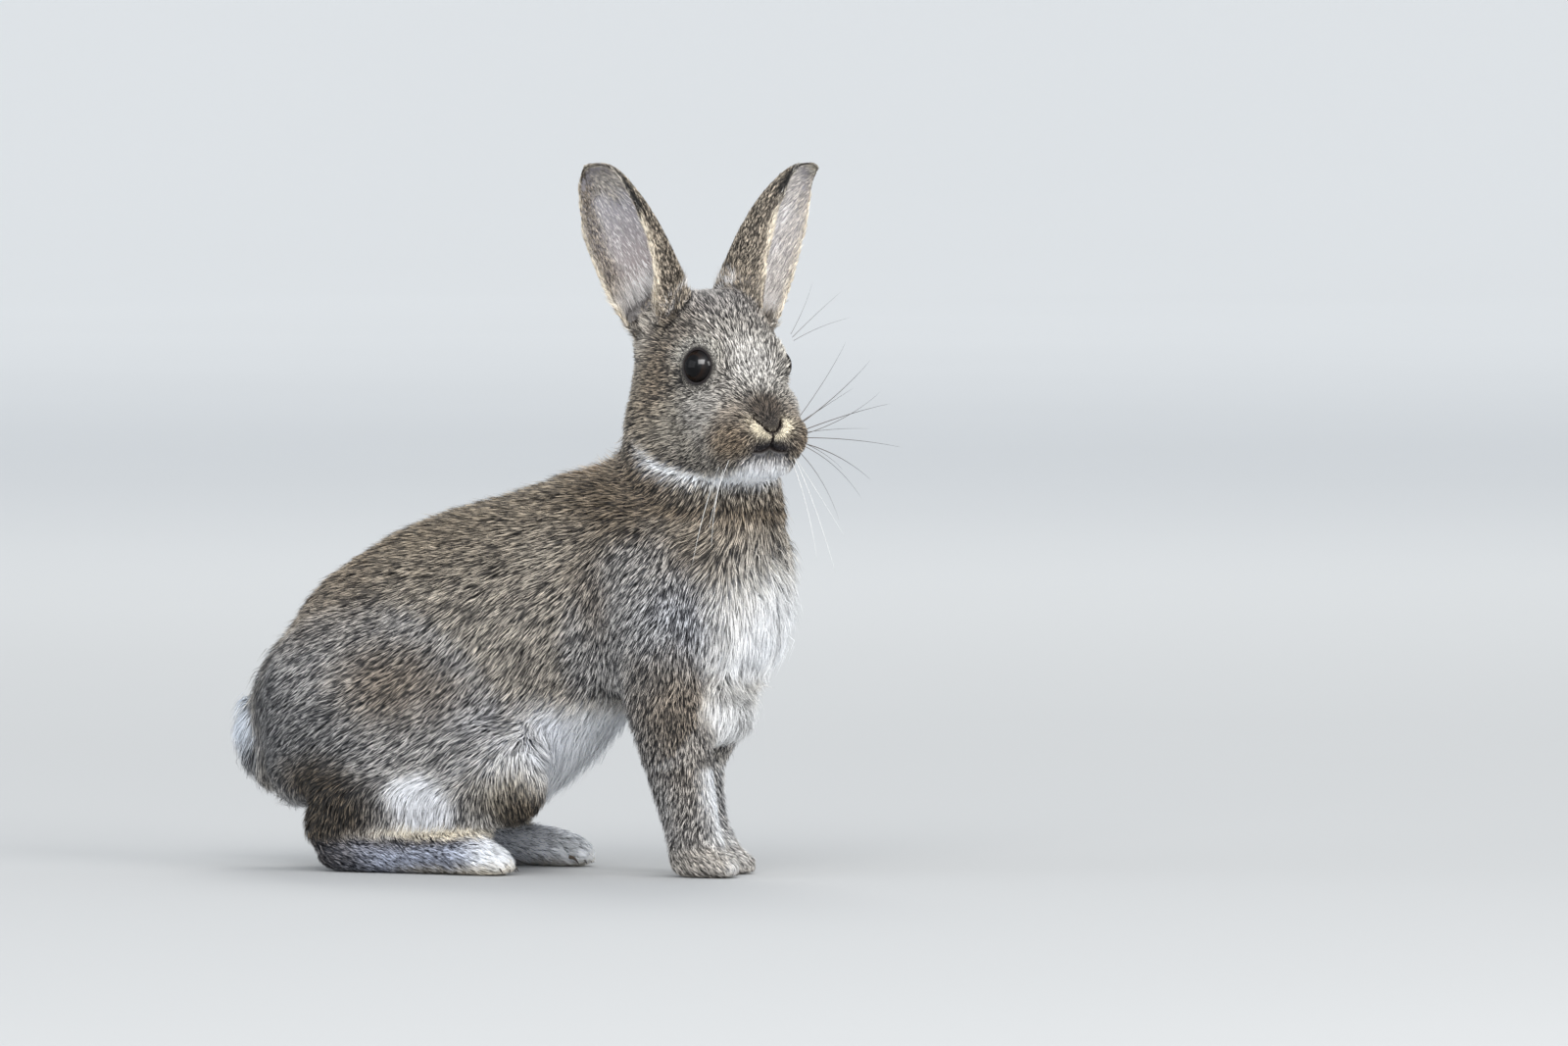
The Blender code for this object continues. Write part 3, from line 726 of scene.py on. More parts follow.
TONE_ZONES = (
    # back and flanks
    Zone((-20, 0, 104), (75, 30, 26), BACK, soft=0.5),
    Zone((30, 0, 118), (34, 22, 16), BACK, soft=0.5),
    Zone((-62, 22, 88), (26, 22, 15), UMBER, soft=0.6, most=0.5),
    Zone((-29, 38, 63), (17, 16, 12), UMBER, soft=0.8, most=0.75),
    Zone((-6, 38, 60), (9, 16, 7), UMBER, soft=0.7, most=0.4),
    Zone((36, 33, 92), (6, 14, 12), UMBER, soft=0.8, most=0.5),
    Zone((-62, 34, 44), (20, 22, 13), SLATE, soft=0.7, most=0.6),
    Zone((-84, 26, 50), (15, 26, 26), SLATE, soft=0.5, most=0.95, only=("trunk", "thigh", "shank")),
    Zone((44, 24, 122), (21, 19, 13), DEEP, soft=0.6, most=0.95),
    Zone((26, 0, 132), (13, 12, 10), RUFOUS, soft=0.6, most=0.6),
    # chest
    Zone((74, 0, 117), (15, 26, 10), TAN, soft=0.7, most=0.5),
    Zone((68, 25, 103), (9, 12, 11), UMBER, soft=0.8, most=0.5),
    Zone((68, 29, 83), (13, 12, 13), BLUE, soft=0.7, most=0.95),
    Zone((82, 0, 86), (15, 27, 22), Tone((0.8, 0.775, 0.73), (0.06, 0.06, 0.068), 0.5, 0.46), soft=0.6),
    Zone((89, 4, 78), (9, 15, 24), WHITE, soft=0.6, most=0.92),
    Zone((80, 16, 68), (9, 7, 9), WHITE, soft=0.7, most=0.8),
    Zone((81, 10, 74), (10, 10, 13), WHITE, soft=0.7, most=0.75),
    Zone((76, 10, 88), (7, 9, 10), WHITE, soft=0.8, most=0.55),
    Zone((82, 22, 60), (8, 6, 6), BLUE, soft=0.8, most=0.8),
    Zone((78, 0, 56), (15, 26, 12), Tone((0.9, 0.885, 0.85), (0.24, 0.235, 0.235), 0.64, 0.22), soft=0.6,
         most=0.85),
    # belly and thigh
    Zone((20, 0, 33), (34, 36, 14), WHITE, soft=0.4, only=("trunk", "thigh")),
    Zone((30, 0, 46), (18, 33, 13), WHITE, soft=0.45, only="trunk"),
    Zone((48, 0, 46), (9, 12, 26), WHITE, soft=0.5),
    Zone((2, 36, 54), (10, 12, 8), BLUE, soft=0.8, most=0.5),
    Zone((-20.5, 38, 25.5), (11, 12, 8.5), Tone((0.82, 0.83, 0.86), (0.34, 0.35, 0.39), 0.72, 0.1),
         soft=0.4),
    Zone((-30, 0, 20), (60, 26, 18), WHITE, soft=0.3),
    Zone((21, 28, 44), (12, 12, 13), Tone((0.82, 0.855, 0.93), (0.3, 0.33, 0.4), 0.68, 0.12), soft=0.6,
         most=0.9, only=("trunk", "thigh")),
    Zone((9, 36, 27), (12, 13, 8), Tone((0.5, 0.44, 0.34), (0.05, 0.042, 0.034), 0.42, 0.45), soft=0.7,
         most=0.85),
    # hocks and hind feet
    Zone((13, 34, 23), (9, 12, 7), HOCK, soft=0.6, most=0.85),
    Zone((-60, 38, 25), (23, 16, 14), HOCK, soft=0.4, most=0.95),
    Zone((-60, 28, 6), (16, 18, 9), HOCK, soft=0.6, most=0.7),
    Zone((-22, 40, 11.2), (24, 12, 2.2), HOCK, soft=0.8, most=0.6, only="hind"),
    Zone((-19, 36, 15.3), (23, 14, 3.4), Tone((0.88, 0.81, 0.68), (0.34, 0.28, 0.21), 0.72, 0.05),
         soft=0.5, most=0.95, only=("hind", "shank")),
    # painted light: the far hind foot alone is made whiter, to stand against the shade it sits in
    Zone((4, 30, 9), (34, 20, 12), Tone((0.95, 0.96, 1.0), (0.48, 0.5, 0.56), 0.84, 0.03), soft=0.4,
         only="hind_foot_left"),
    Zone((5, 36, 7), (13, 20, 11), WHITE, soft=0.5, most=0.95, only="hind"),
    Zone((-8, 36, 1), (24, 14, 3), CREAM, soft=0.6, most=0.8, only="hind"),
    # forelegs
    Zone((76, 8, 50), (12, 14, 13), WHITE, soft=0.6, most=0.7),
    Zone((58, 20, 45), (10, 12, 34), GREY, soft=0.5, only="shoulder"),
    Zone((59, 23, 37), (16, 13, 17), GREY, soft=0.35),
    Zone((64, 24, 38), (5, 10, 28), TAN, soft=0.8, most=0.25),
    Zone((60, 24, 55), (11, 12, 17), UMBER, soft=0.8, most=0.75, only=LEGS),
    Zone((70, 6, 44), (12, 12.5, 36), WHITE, soft=0.3, most=1.0, only=LEGS),
    Zone((81, 14, 4), (7, 16, 5), WHITE, soft=0.6, most=0.6, only=LEGS),
    # tail
    Zone((-97, 0, 52), (30, 30, 40), Tone((0.66, 0.7, 0.76), (0.3, 0.33, 0.38), 0.75, 0.03), only="tail"),
    Zone((-97, 0, 32), (20, 20, 11), SLATE, only="tail", soft=0.3, most=0.95),
) + on_head(
    # crown, cheeks, jaw and nose
    Zone((-24, 0, 34), (17, 15, 12), BROW, soft=0.6, most=0.85),
    Zone((-14, 0, 21), (11, 9, 9), Tone((0.88, 0.85, 0.81), (0.045, 0.04, 0.038), 0.54, 0.42), soft=0.7,
         most=0.9),
    Zone((-36, 0, 44), (14, 17, 10), Tone((0.56, 0.52, 0.5), (0.026, 0.024, 0.026), 0.4, 0.62),
         soft=0.6, most=0.85),
    Zone((-42, 22, 12), (12, 10, 15), BACK, soft=0.6, most=0.85),
    Zone((-46, 23, 38), (7, 6, 12), Tone((0.8, 0.75, 0.68), (0.2, 0.175, 0.155), 0.62, 0.15), soft=0.5,
         most=0.85, only="head"),
    Zone((-45, 22, 44), (6, 6, 8), Tone((0.9, 0.86, 0.81), (0.34, 0.3, 0.28), 0.75, 0.08), soft=0.6,
         most=0.9, only="head"),
    Zone((-34, 19, 31), (9, 9, 10), UMBER, soft=0.7, most=0.55),
    Zone((-38, 22, 16), (7, 9, 11), UMBER, soft=0.7, most=0.85),
    Zone((-28, 20, 3), (12, 9, 8), Tone((0.5, 0.45, 0.375), (0.038, 0.033, 0.029), 0.44, 0.46), soft=0.7,
         most=0.8),
    Zone((-17, 14, 9), (8, 7, 9), Tone((0.62, 0.585, 0.54), (0.048, 0.043, 0.04), 0.48, 0.4), soft=0.7,
         most=0.85),
    Zone((-6, 11, -1), (7, 7, 6.5), Tone((0.4, 0.3, 0.2), (0.032, 0.022, 0.017), 0.42, 0.46), soft=0.6,
         most=0.9),
    Zone((-9, 0, -11.5), (9, 9, 4.2), WHITE, soft=0.4, only="head"),
    Zone((-4, 0, -8.0), (5, 7, 2.6), Tone((0.8, 0.8, 0.82), (0.26, 0.26, 0.29), 0.65, 0.1), soft=0.5,
         most=0.85, only="head"),
    # dark neck just under the jaw: partly its own colour, partly painted shade under the jaw's edge
    Zone((-26, 12, -19.5), (34, 26, 4.4), DEEP, soft=0.4, most=0.85, only=("neck", "trunk")),
    Zone((-7, 9.5, 7), (4, 4, 4), Tone((0.5, 0.42, 0.34), (0.06, 0.05, 0.042), 0.46, 0.4), soft=0.7,
         most=0.8),
    Zone((-5, 0, 8.0), (5.0, 5.6, 5.0), Tone((0.17, 0.13, 0.1), (0.02, 0.016, 0.014), 0.4, 0.45),
         soft=0.5, most=0.95),
    Zone((-2.5, 0, 4.0), (3.2, 2.6, 3.2), Tone((0.15, 0.12, 0.1), (0.022, 0.019, 0.017), 0.4, 0.3),
         soft=0.5, most=0.9),
)


@dataclass
class Cloth:
    """What the skin carries at each vertex for the coat: numbers by name, and which way the hair lies."""

    numbers: dict
    lie: Array
    pale: Array
    dark: Array
    share: Array
    tick: Array


class Pattern:
    """Works out the fur's growth and colours over the skin from the regions and zones."""

    def __init__(self, anatomy: Anatomy) -> None:
        """Keeps a tree of the solids' faces with the node each belongs to.

        Args:
            anatomy: Where the parts are.
        """
        self.anatomy = anatomy
        self.names = anatomy.flesh
        self.regions = [next(region for start, region in REGIONS.items() if name.startswith(start))
                        for name in self.names]
        verts, tris, self.owner = joined(welded(anatomy.nodes[name].data) for name in self.names)
        self.tree = BVHTree.FromPolygons(verts.tolist(), tris.tolist())

    def labels(self, points: Array) -> Array:
        """Returns the number of the node nearest to each point."""
        found = [self.tree.find_nearest(point)[2] for point in points.tolist()]
        return self.owner[np.array(found)]

    def applies(self, zone: Zone, labels: Array) -> Array:
        """Returns 1 for each vertex whose node a zone may change, or else 0."""
        if zone.only is None:
            return np.ones(len(labels))
        return self.is_part(labels, zone.only).astype(float)

    def is_part(self, labels: Array, starts: Union[str, tuple]) -> Array:
        """Returns which vertices belong to nodes whose names start with a word, or with one of several."""
        return np.array([name.startswith(starts) for name in self.names])[labels]

    def growth(self, points: Array, labels: Array, web: "Web") -> dict:
        """Works out the fur's numbers.

        Args:
            points: The skin's vertices.
            labels: Their nodes.
            web: The skin's edges, for smoothing.

        Returns:
            Arrays by the names in FUR_NUMBERS, and "lie".
        """
        furs = [fur for fur, _ in self.regions]
        table = np.array([[getattr(fur, key) or 0.0 for key in FUR_NUMBERS] for fur in furs])
        values = web.smooth(table[labels], 30)
        lie = web.smooth(self.base_lie(points, labels, furs), 30)
        for zone in FUR_ZONES:
            share = zone.share(points, self.anatomy.head) * self.applies(zone, labels)
            for column, key in enumerate(FUR_NUMBERS):
                wanted = getattr(zone.fur, key)
                if wanted is not None:
                    values[:, column] += (wanted - values[:, column]) * share
            if zone.fur.lie is not None:
                way = unit(np.array(zone.fur.lie, float))
                if zone.place is Place.HEAD:
                    way = self.anatomy.head.turn @ way
                lie += (way - lie) * share[:, None]
        out = dict(zip(FUR_NUMBERS, values.T))
        out["lie"] = lie
        return out

    def base_lie(self, points: Array, labels: Array, furs: list) -> Array:
        """Which way the hair lies before any zone.

        Args:
            points: The skin's vertices.
            labels: Their nodes.
            furs: The fur of each node.

        Returns:
            A direction for each vertex.
        """
        head = self.anatomy.head
        out = np.zeros_like(points)
        for index, name in enumerate(self.names):
            here = labels == index
            if name.startswith("ear"):
                side = Side[name[4:].upper()]
                out[here] = self.anatomy.ears[side].turn[:, 2]
            elif name == "head":
                away = head.inside(points[here]) - [3.0, 0, 3.0]
                away[:, 2] -= 0.4 * np.abs(away[:, 0])
                out[here] = unit(away) @ head.turn.T
            else:
                out[here] = unit(np.array(furs[index].lie, float))
        return out

    def tones(self, points: Array, labels: Array, web: "Web") -> dict:
        """Works out the coat's colours.

        Args:
            points: The skin's vertices.
            labels: Their nodes.
            web: The skin's edges, for smoothing.

        Returns:
            Arrays named pale, dark, share and tick.
        """
        table = np.array([self.row(tone) for _, tone in self.regions])
        values = web.smooth(table[labels], 25)
        stir = np.column_stack([noise(points, 7.0, seed) for seed in (3, 4, 5)]) * 1.6
        stir += np.column_stack([noise(points, 2.6, seed) for seed in (6, 7, 8)]) * 0.7
        calm = np.where(self.is_part(labels, "head"), 0.35, 1.0)
        moved = points + stir * calm[:, None]  # so that the zones' edges are ragged
        for zone in TONE_ZONES:
            share = zone.share(moved, self.anatomy.head) * self.applies(zone, labels)
            values += (np.array(self.row(zone.tone)) - values) * share[:, None]
        patchy = 1 + 0.1 * noise(points, 5.0, 11) + 0.08 * noise(points, 12.0, 12)
        return {"pale": values[:, 0:3] * patchy[:, None], "dark": values[:, 3:6], "share": values[:, 6],
                "tick": values[:, 7]}

    @staticmethod
    def row(tone: Tone) -> tuple:
        """Returns a tone as eight numbers."""
        return (*tone.pale, *tone.dark, tone.share, tone.tick)


# -------- mesh


def pulled(items: bpy.types.bpy_prop_collection, key: str, width: int, kind: type = float) -> Array:
    """Returns a row of numbers for each item of a mesh."""
    flat = np.zeros(len(items) * width, kind)
    items.foreach_get(key, flat)
    return flat.reshape(-1, width)


def places(mesh: Mesh) -> Array:
    """Returns a mesh's vertices in mm."""
    return pulled(mesh.vertices, "co", 3) / MM


def move_to(mesh: Mesh, verts: Array) -> None:
    """Puts a mesh's vertices at places in mm."""
    mesh.vertices.foreach_set("co", (verts * MM).astype(np.float32).ravel())
    mesh.update()


def triangles(mesh: Mesh) -> Array:
    """Returns a mesh's triangles."""
    mesh.calc_loop_triangles()
    return pulled(mesh.loop_triangles, "vertices", 3, np.int32)


def welded(mesh: Mesh) -> tuple:
    """Returns a mesh's vertices in mm, with those at one place made one, and its triangles."""
    verts = places(mesh)
    _, first, back = np.unique(np.round(verts, 4), axis=0, return_index=True, return_inverse=True)
    return verts[first], back.reshape(-1)[triangles(mesh)]


def vertex_normals(verts: Array, tris: Array) -> Array:
    """Works out which way a mesh faces.

    Args:
        verts: The vertices.
        tris: The corners of each triangle.

    Returns:
        The area-weighted normal at each vertex.
    """
    a, b, c = (verts[tris[:, i]] for i in range(3))
    face = np.cross(b - a, c - a)
    return unit(np.column_stack([np.bincount(tris.ravel(), weights=np.repeat(part, 3), minlength=len(verts))
                                 for part in face.T]))


def joined(parts: Iterable[tuple]) -> tuple:
    """Joins meshes.

    Args:
        parts: Vertices and faces of each.

    Returns:
        All vertices, all faces, and the number of each face's mesh.
    """
    verts, faces, owner, count = [], [], [], 0
    for index, (points, corners) in enumerate(parts):
        verts.append(points)
        faces.append(corners + count)
        owner += [index] * len(corners)
        count += len(points)
    return np.vstack(verts), np.vstack(faces), np.array(owner)


def make_mesh(name: str, verts: Array, faces: list) -> Mesh:
    """Makes a mesh.

    Args:
        name: The mesh's name.
        verts: Vertices in mm.
        faces: Arrays of faces, each array with one number of corners.

    Returns:
        The mesh, in metres, shaded smooth.
    """
    mesh = bpy.data.meshes.new(name)
    corners = np.concatenate([f.ravel() for f in faces]).astype(np.int32)
    sizes = np.concatenate([np.full(len(f), f.shape[1]) for f in faces]).astype(np.int32)
    mesh.vertices.add(len(verts))
    mesh.vertices.foreach_set("co", (verts * MM).astype(np.float32).ravel())
    mesh.loops.add(len(corners))
    mesh.loops.foreach_set("vertex_index", corners)
    mesh.polygons.add(len(sizes))
    mesh.polygons.foreach_set("loop_start", np.concatenate([[0], np.cumsum(sizes)[:-1]]).astype(np.int32))
    mesh.update(calc_edges=True)
    mesh.polygons.foreach_set("use_smooth", np.ones(len(sizes), bool))
    mesh.update()
    return mesh


def ring_pair(sides: int, first: int) -> tuple:
    """Returns the numbers of a ring's vertices from the first on, and of the one after each."""
    step = np.arange(sides)
    return first + step, first + (step + 1) % sides


def bands(rings: int, sides: int, first: int) -> Array:
    """Makes the faces of four corners between rings of vertices.

    Args:
        rings: How many rings follow each other.
        sides: How many vertices a ring has.
        first: The number of the first ring's first vertex.

    Returns:
        The faces.
    """
    pairs = [ring_pair(sides, first + k * sides) for k in range(rings)]
    return np.vstack([np.column_stack([a, b, b_next, a_next])
                      for (a, a_next), (b, b_next) in zip(pairs[:-1], pairs[1:])])


def make_object(mesh: Mesh, material: Optional[Material] = None) -> Object:
    """Puts a mesh in the scene.

    Args:
        mesh: The mesh.
        material: Its material, if any.

    Returns:
        The object.
    """
    obj = bpy.data.objects.new(mesh.name, mesh)
    bpy.context.scene.collection.objects.link(obj)
    if material is not None:
        mesh.materials.append(material)
    return obj


def carry(mesh: Mesh, name: str, values: Array) -> None:
    """Stores numbers on a mesh.

    Args:
        mesh: The mesh.
        name: What the numbers are called.
        values: One number, three numbers or a colour for each vertex.
    """
    if values.ndim == 1:
        kind, key = "FLOAT", "value"
    elif name in COLOURS:
        kind, key = "FLOAT_COLOR", "color"
        values = np.column_stack([values, np.ones(len(values))])
    else:
        kind, key = "FLOAT_VECTOR", "vector"
    layer = mesh.attributes.new(name, kind, "POINT")
    layer.data.foreach_set(key, values.astype(np.float32).ravel())


def add_map(mesh: Mesh, name: str, spots: Array) -> None:
    """Adds a UV map that has a place for each corner of the faces."""
    mesh.uv_layers.new(name=name).data.foreach_set("uv", spots.astype(np.float32).ravel())


class Web:
    """The edges of a mesh, to smooth numbers over it."""

    def __init__(self, count: int, edges: Array) -> None:
        """Keeps each vertex's neighbours.

        Args:
            count: How many vertices there are.
            edges: The two ends of each edge.
        """
        self.count = count
        self.ends = np.concatenate([edges[:, 0], edges[:, 1]])
        self.others = np.concatenate([edges[:, 1], edges[:, 0]])
        self.degree = np.maximum(np.bincount(self.ends, minlength=count), 1)

    def mean(self, values: Array) -> Array:
        """Returns the mean of each vertex's neighbours."""
        if values.ndim == 1:
            return np.bincount(self.ends, weights=values[self.others], minlength=self.count) / self.degree
        return np.column_stack([self.mean(column) for column in values.T])

    def smooth(self, values: Array, rounds: int, amount: Amount = 0.5) -> Array:
        """Draws values towards their neighbours' mean, round after round.

        Args:
            values: One or more numbers for each vertex.
            rounds: How often it is done.
            amount: How far they go each time.

        Returns:
            The smoother values.
        """
        values = values.astype(float).copy()
        amount = np.asarray(amount, float)
        if values.ndim > 1 and amount.ndim == 1:
            amount = amount[:, None]
        for _ in range(rounds):
            values += (self.mean(values) - values) * amount
        return values

    def level(self, verts: Array, rounds: int, amount: Array, back: float) -> Array:
        """Takes small steps out of a surface without shrinking it.

        Args:
            verts: The vertices.
            rounds: How many times to do it.
            amount: How far each vertex goes towards its neighbours' mean.
            back: The share of that by which it then goes back.

        Returns:
            The moved vertices.
        """
        for _ in range(rounds):
            for share in (amount, -amount * back):
                verts = verts + (self.mean(verts) - verts) * share[:, None]
        return verts


def unwrap(mesh: Mesh, name: str, apart: float = 0.002) -> None:
    """Unfolds a mesh without overlap.

    Args:
        mesh: The mesh.
        name: What to call the map.
        apart: The gap between pieces of the map.
    """
    obj = make_object(mesh)
    layer = mesh.uv_layers.new(name=name)
    mesh.uv_layers.active = layer
    bpy.context.view_layer.objects.active = obj
    bpy.ops.object.select_all(action="DESELECT")
    obj.select_set(True)
    bpy.ops.object.mode_set(mode="EDIT")
    bpy.ops.mesh.select_all(action="SELECT")
    bpy.ops.uv.smart_project(angle_limit=math.radians(72), island_margin=apart, area_weight=0.6)
    bpy.ops.object.mode_set(mode="OBJECT")
    bpy.data.objects.remove(obj)


# -------- skin


@dataclass
class Ear:
    """The thin cupped blade of an ear, a little inside the solid one."""

    axes: Axes
    length: float
    tip_back: float
    wall: float = 2.8
    thinning: float = 0.45  # how much thinner the wall is at its edges
    # share of the length, half width, half angle of the curl
    rows: tuple = ((-0.08, 9.3, 172), (0.05, 11.2, 164), (0.18, 12.2, 141), (0.32, 13.0, 119),
                   (0.5, 13.7, 102), (0.68, 13.2, 90), (0.84, 10.8, 76), (0.93, 7.8, 66),
                   (0.98, 4.4, 60), (1.00, 2.0, 58))
    across: int = 40
    per_span: int = 9

    def bend(self, share: Amount) -> Array:
        """Returns how far back the blade is at a share of its length."""
        return self.tip_back * ease(share, 0.62, 1.0)

    def thickness(self, across: Array) -> Array:
        """Returns the wall's thickness at places from -1 to 1 across the blade."""
        return self.wall * (1 - self.thinning * across ** 2)

    def radius(self, half: Amount, curl: Amount) -> Array:
        """Returns the radius of the curl that gives a half width."""
        return half / np.where(curl < math.pi / 2, np.sin(curl), 1.0)

    def loft(self) -> tuple:
        """Returns the vertices and the triangles of the blade."""
        rows = smooth_rows(self.rows, self.per_span)
        steps = np.linspace(-1, 1, self.across)
        rings = []
        for share, half, curl in rows:
            curl = math.radians(curl)
            radius = self.radius(half, curl)
            outer = np.column_stack([np.full(self.across, radius), steps * curl])
            inner = np.column_stack([np.maximum(radius - self.thickness(steps), 0.4), steps * curl])[::-1]
            far, angle = np.vstack([outer, inner]).T
            x = -far * np.cos(angle) - self.bend(share)
            rings.append(np.column_stack([x, far * np.sin(angle), np.full(len(far), share * self.length)]))
        ring = len(rings[0])
        verts = np.vstack(rings)
        i, j = ring_pair(ring, 0)
        tris = []
        for k in range(len(rings) - 1):
            a, b = k * ring, (k + 1) * ring
            tris += [np.column_stack([a + i, a + j, b + j]), np.column_stack([a + i, b + j, b + i])]
        step = np.arange(self.across - 1)
        for k, flip in ((0, True), (len(rings) - 1, False)):
            one, two = k * ring + step, k * ring + ring - 1 - step
            cap = [np.column_stack([one, one + 1, two]), np.column_stack([one + 1, two - 1, two])]
            tris += [c[:, ::-1] for c in cap] if flip else cap
        return self.axes.out(verts), np.vstack(tris)


@dataclass
class Lids:
    """Eyelids that wrap the eyeball and leave an opening about its axis."""

    centre: Array  # in the head's axes
    radius: float
    y: int
    forward: float  # degrees that the axis points ahead of straight out
    rise: float = 4.0
    opening: float = 60.0  # half angle of the opening
    corner: float = 2.5  # extra half angle at the corners
    rim: float = 0.42  # how thick the edge of the lid is
    tuck: float = 1.5  # how far behind the ball's front the skin goes inside the opening
    slope: float = 0.075  # how fast the lid may rise with the angle past its edge

    @property
    def axis(self) -> Array:
        """The way the eye looks, in the head's axes."""
        a, e = math.radians(self.forward), math.radians(self.rise)
        return np.array([math.sin(a) * math.cos(e), self.y * math.cos(a) * math.cos(e), math.sin(e)])

    def measure(self, points: Array) -> tuple:
        """How points in the head's axes lie about the eye.

        Args:
            points: The points.

        Returns:
            The distance from its centre, the angle past the edge of the opening in degrees, and the way out.
        """
        off = points - self.centre
        far = np.linalg.norm(off, axis=1)
        way = off / np.maximum(far, 1e-6)[:, None]
        angle = np.degrees(np.arccos(np.clip(way @ self.axis, -1, 1)))
        along = unit(np.cross([0, 0, 1.0], self.axis))
        flat = way - (way @ self.axis)[:, None] * self.axis
        corner = np.abs(unit(flat) @ along)
        edge = self.opening + self.corner * corner ** 4
        return far, angle - edge, way

    def shape(self, points: Array) -> Array:
        """Makes the lids.

        Args:
            points: Points in the head's axes.

        Returns:
            The points, moved.
        """
        far, past, way = self.measure(points)
        near = far < self.radius * 2.1
        inside = self.radius - self.tuck
        outside = self.radius + self.rim
        rising = inside + (outside - inside) * ease(past, -4.5, 1.0)
        roof = outside + self.slope * np.maximum(past - 1.0, 0)
        lid = np.clip(far, outside - 0.25 * ease(past, 4, 30), roof)
        wanted = np.where(past < 1.0, rising, lid)
        fold = 0.35 * hill(past - 13.0, 3.2) - 0.22 * hill(past - 20.0, 3.0)
        wanted = wanted + fold
        share = ease(past, 46.0, 18.0) * near
        return points + way * ((wanted - far) * share)[:, None]


@dataclass
class Muzzle:
    """The nose, the split lip and the mouth, in the head's axes for the left side."""

    nostril: tuple = ((0.9, 1.0), (2.4, 2.3), (3.9, 4.1), (4.5, 5.1))
    wing: tuple = ((1.3, 0.0), (3.6, 0.8), (5.1, 2.1), (5.3, 3.5))
    split: tuple = ((0.0, 1.2), (0.0, -3.1))
    lips: tuple = ((0.0, -3.4), (1.4, -4.3), (3.2, -4.9), (5.4, -4.9))
    side_lips: tuple = ((-1.5, -5.4), (-4.0, -6.6), (-8.0, -7.4), (-12.0, -7.6))

    def shape(self, points: Array, normals: Array) -> tuple:
        """Moves the skin to make the nostrils, lips and mouth.

        Args:
            points: Points in the head's axes.
            normals: Their normals in the same axes.

        Returns:
            The moved points, and how far in a slit each is.
        """
        f, l, u = points.T
        front = ease(f, -9.5, -6.0)
        flat = np.column_stack([np.abs(l), u])
        slit = path_distance(flat, self.nostril)
        wing = path_distance(flat, self.wing)
        split = path_distance(flat, self.split)
        mouth = path_distance(flat, self.lips)
        beside = path_distance(np.column_stack([f, u]), self.side_lips)
        aside = ease(np.abs(l), 4.4, 6.0) * ease(f, -14.0, -10.5)
        cheek = np.hypot(np.abs(l) - 4.6, u + 1.4)
        chin = np.hypot(l * 0.7, u + 7.6)
        forms = ((wing, 0.62, 1.35, front), (cheek, 0.2, 3.0, front), (chin, 0.9, 3.2, ease(f, -15.0, -9.0)),
                 (slit, -2.0, 0.66, front), (split, -0.85, 0.42, front), (mouth, -1.15, 0.5, front),
                 (beside, -0.25, 0.6, aside))
        push = np.zeros(len(points))
        for distance, height, width, where in forms:
            push += height * hill(distance, width) * where
        # painted shade: the deeper in a nostril, the split, the mouth and the fold beside the lips, the barer
        # and nearer black the skin is made
        dark = np.maximum.reduce([hill(slit, 0.8), hill(split, 0.5), hill(mouth, 0.65)]) * front
        dark = np.maximum(dark, hill(beside, 0.5) * aside * ease(f, -6.0, -3.5) * 0.6)
        return points + normals * push[:, None], dark


@dataclass
class Toes:
    """Grooves between the toes of one foot."""

    node: str
    reach: float  # how far back the toes show
    count: int = 4
    depth: float = 1.0

    def shape(self, points: Array, normals: Array) -> Array:
        """Cuts the grooves between a foot's toes.

        Args:
            points: The skin's points.
            normals: The way out at each.

        Returns:
            The points, moved in along the grooves.
        """
        low, high = solid_box(self.node)
        inside = within(points, low - 1, high + 1)
        share = (points[:, 1] - low[1]) / (high[1] - low[1])
        back = (high[0] - points[:, 0]) / self.reach
        groove = np.zeros(len(points))
        for k in range(1, self.count):
            middle = k / self.count
            bend = middle + (0.5 - middle) * 0.18 * np.clip(back, 0, 1)
            groove += hill((share - bend) * (high[1] - low[1]), 0.75)
        fade = ease(back, 1.0, 0.35) * ease(normals[:, 2], -0.5, 0.2) * inside
        arch = 0.35 * np.cos(math.pi * share * self.count * 2) * fade
        return points - normals * ((groove * self.depth) * fade + arch * 0.5)[:, None]


def blend(growth: dict, share: Array, **wanted: Amount) -> None:
    """Draws numbers of the fur's growth towards others by a share at each vertex."""
    for key, value in wanted.items():
        growth[key] = growth[key] * (1 - share) + value * share


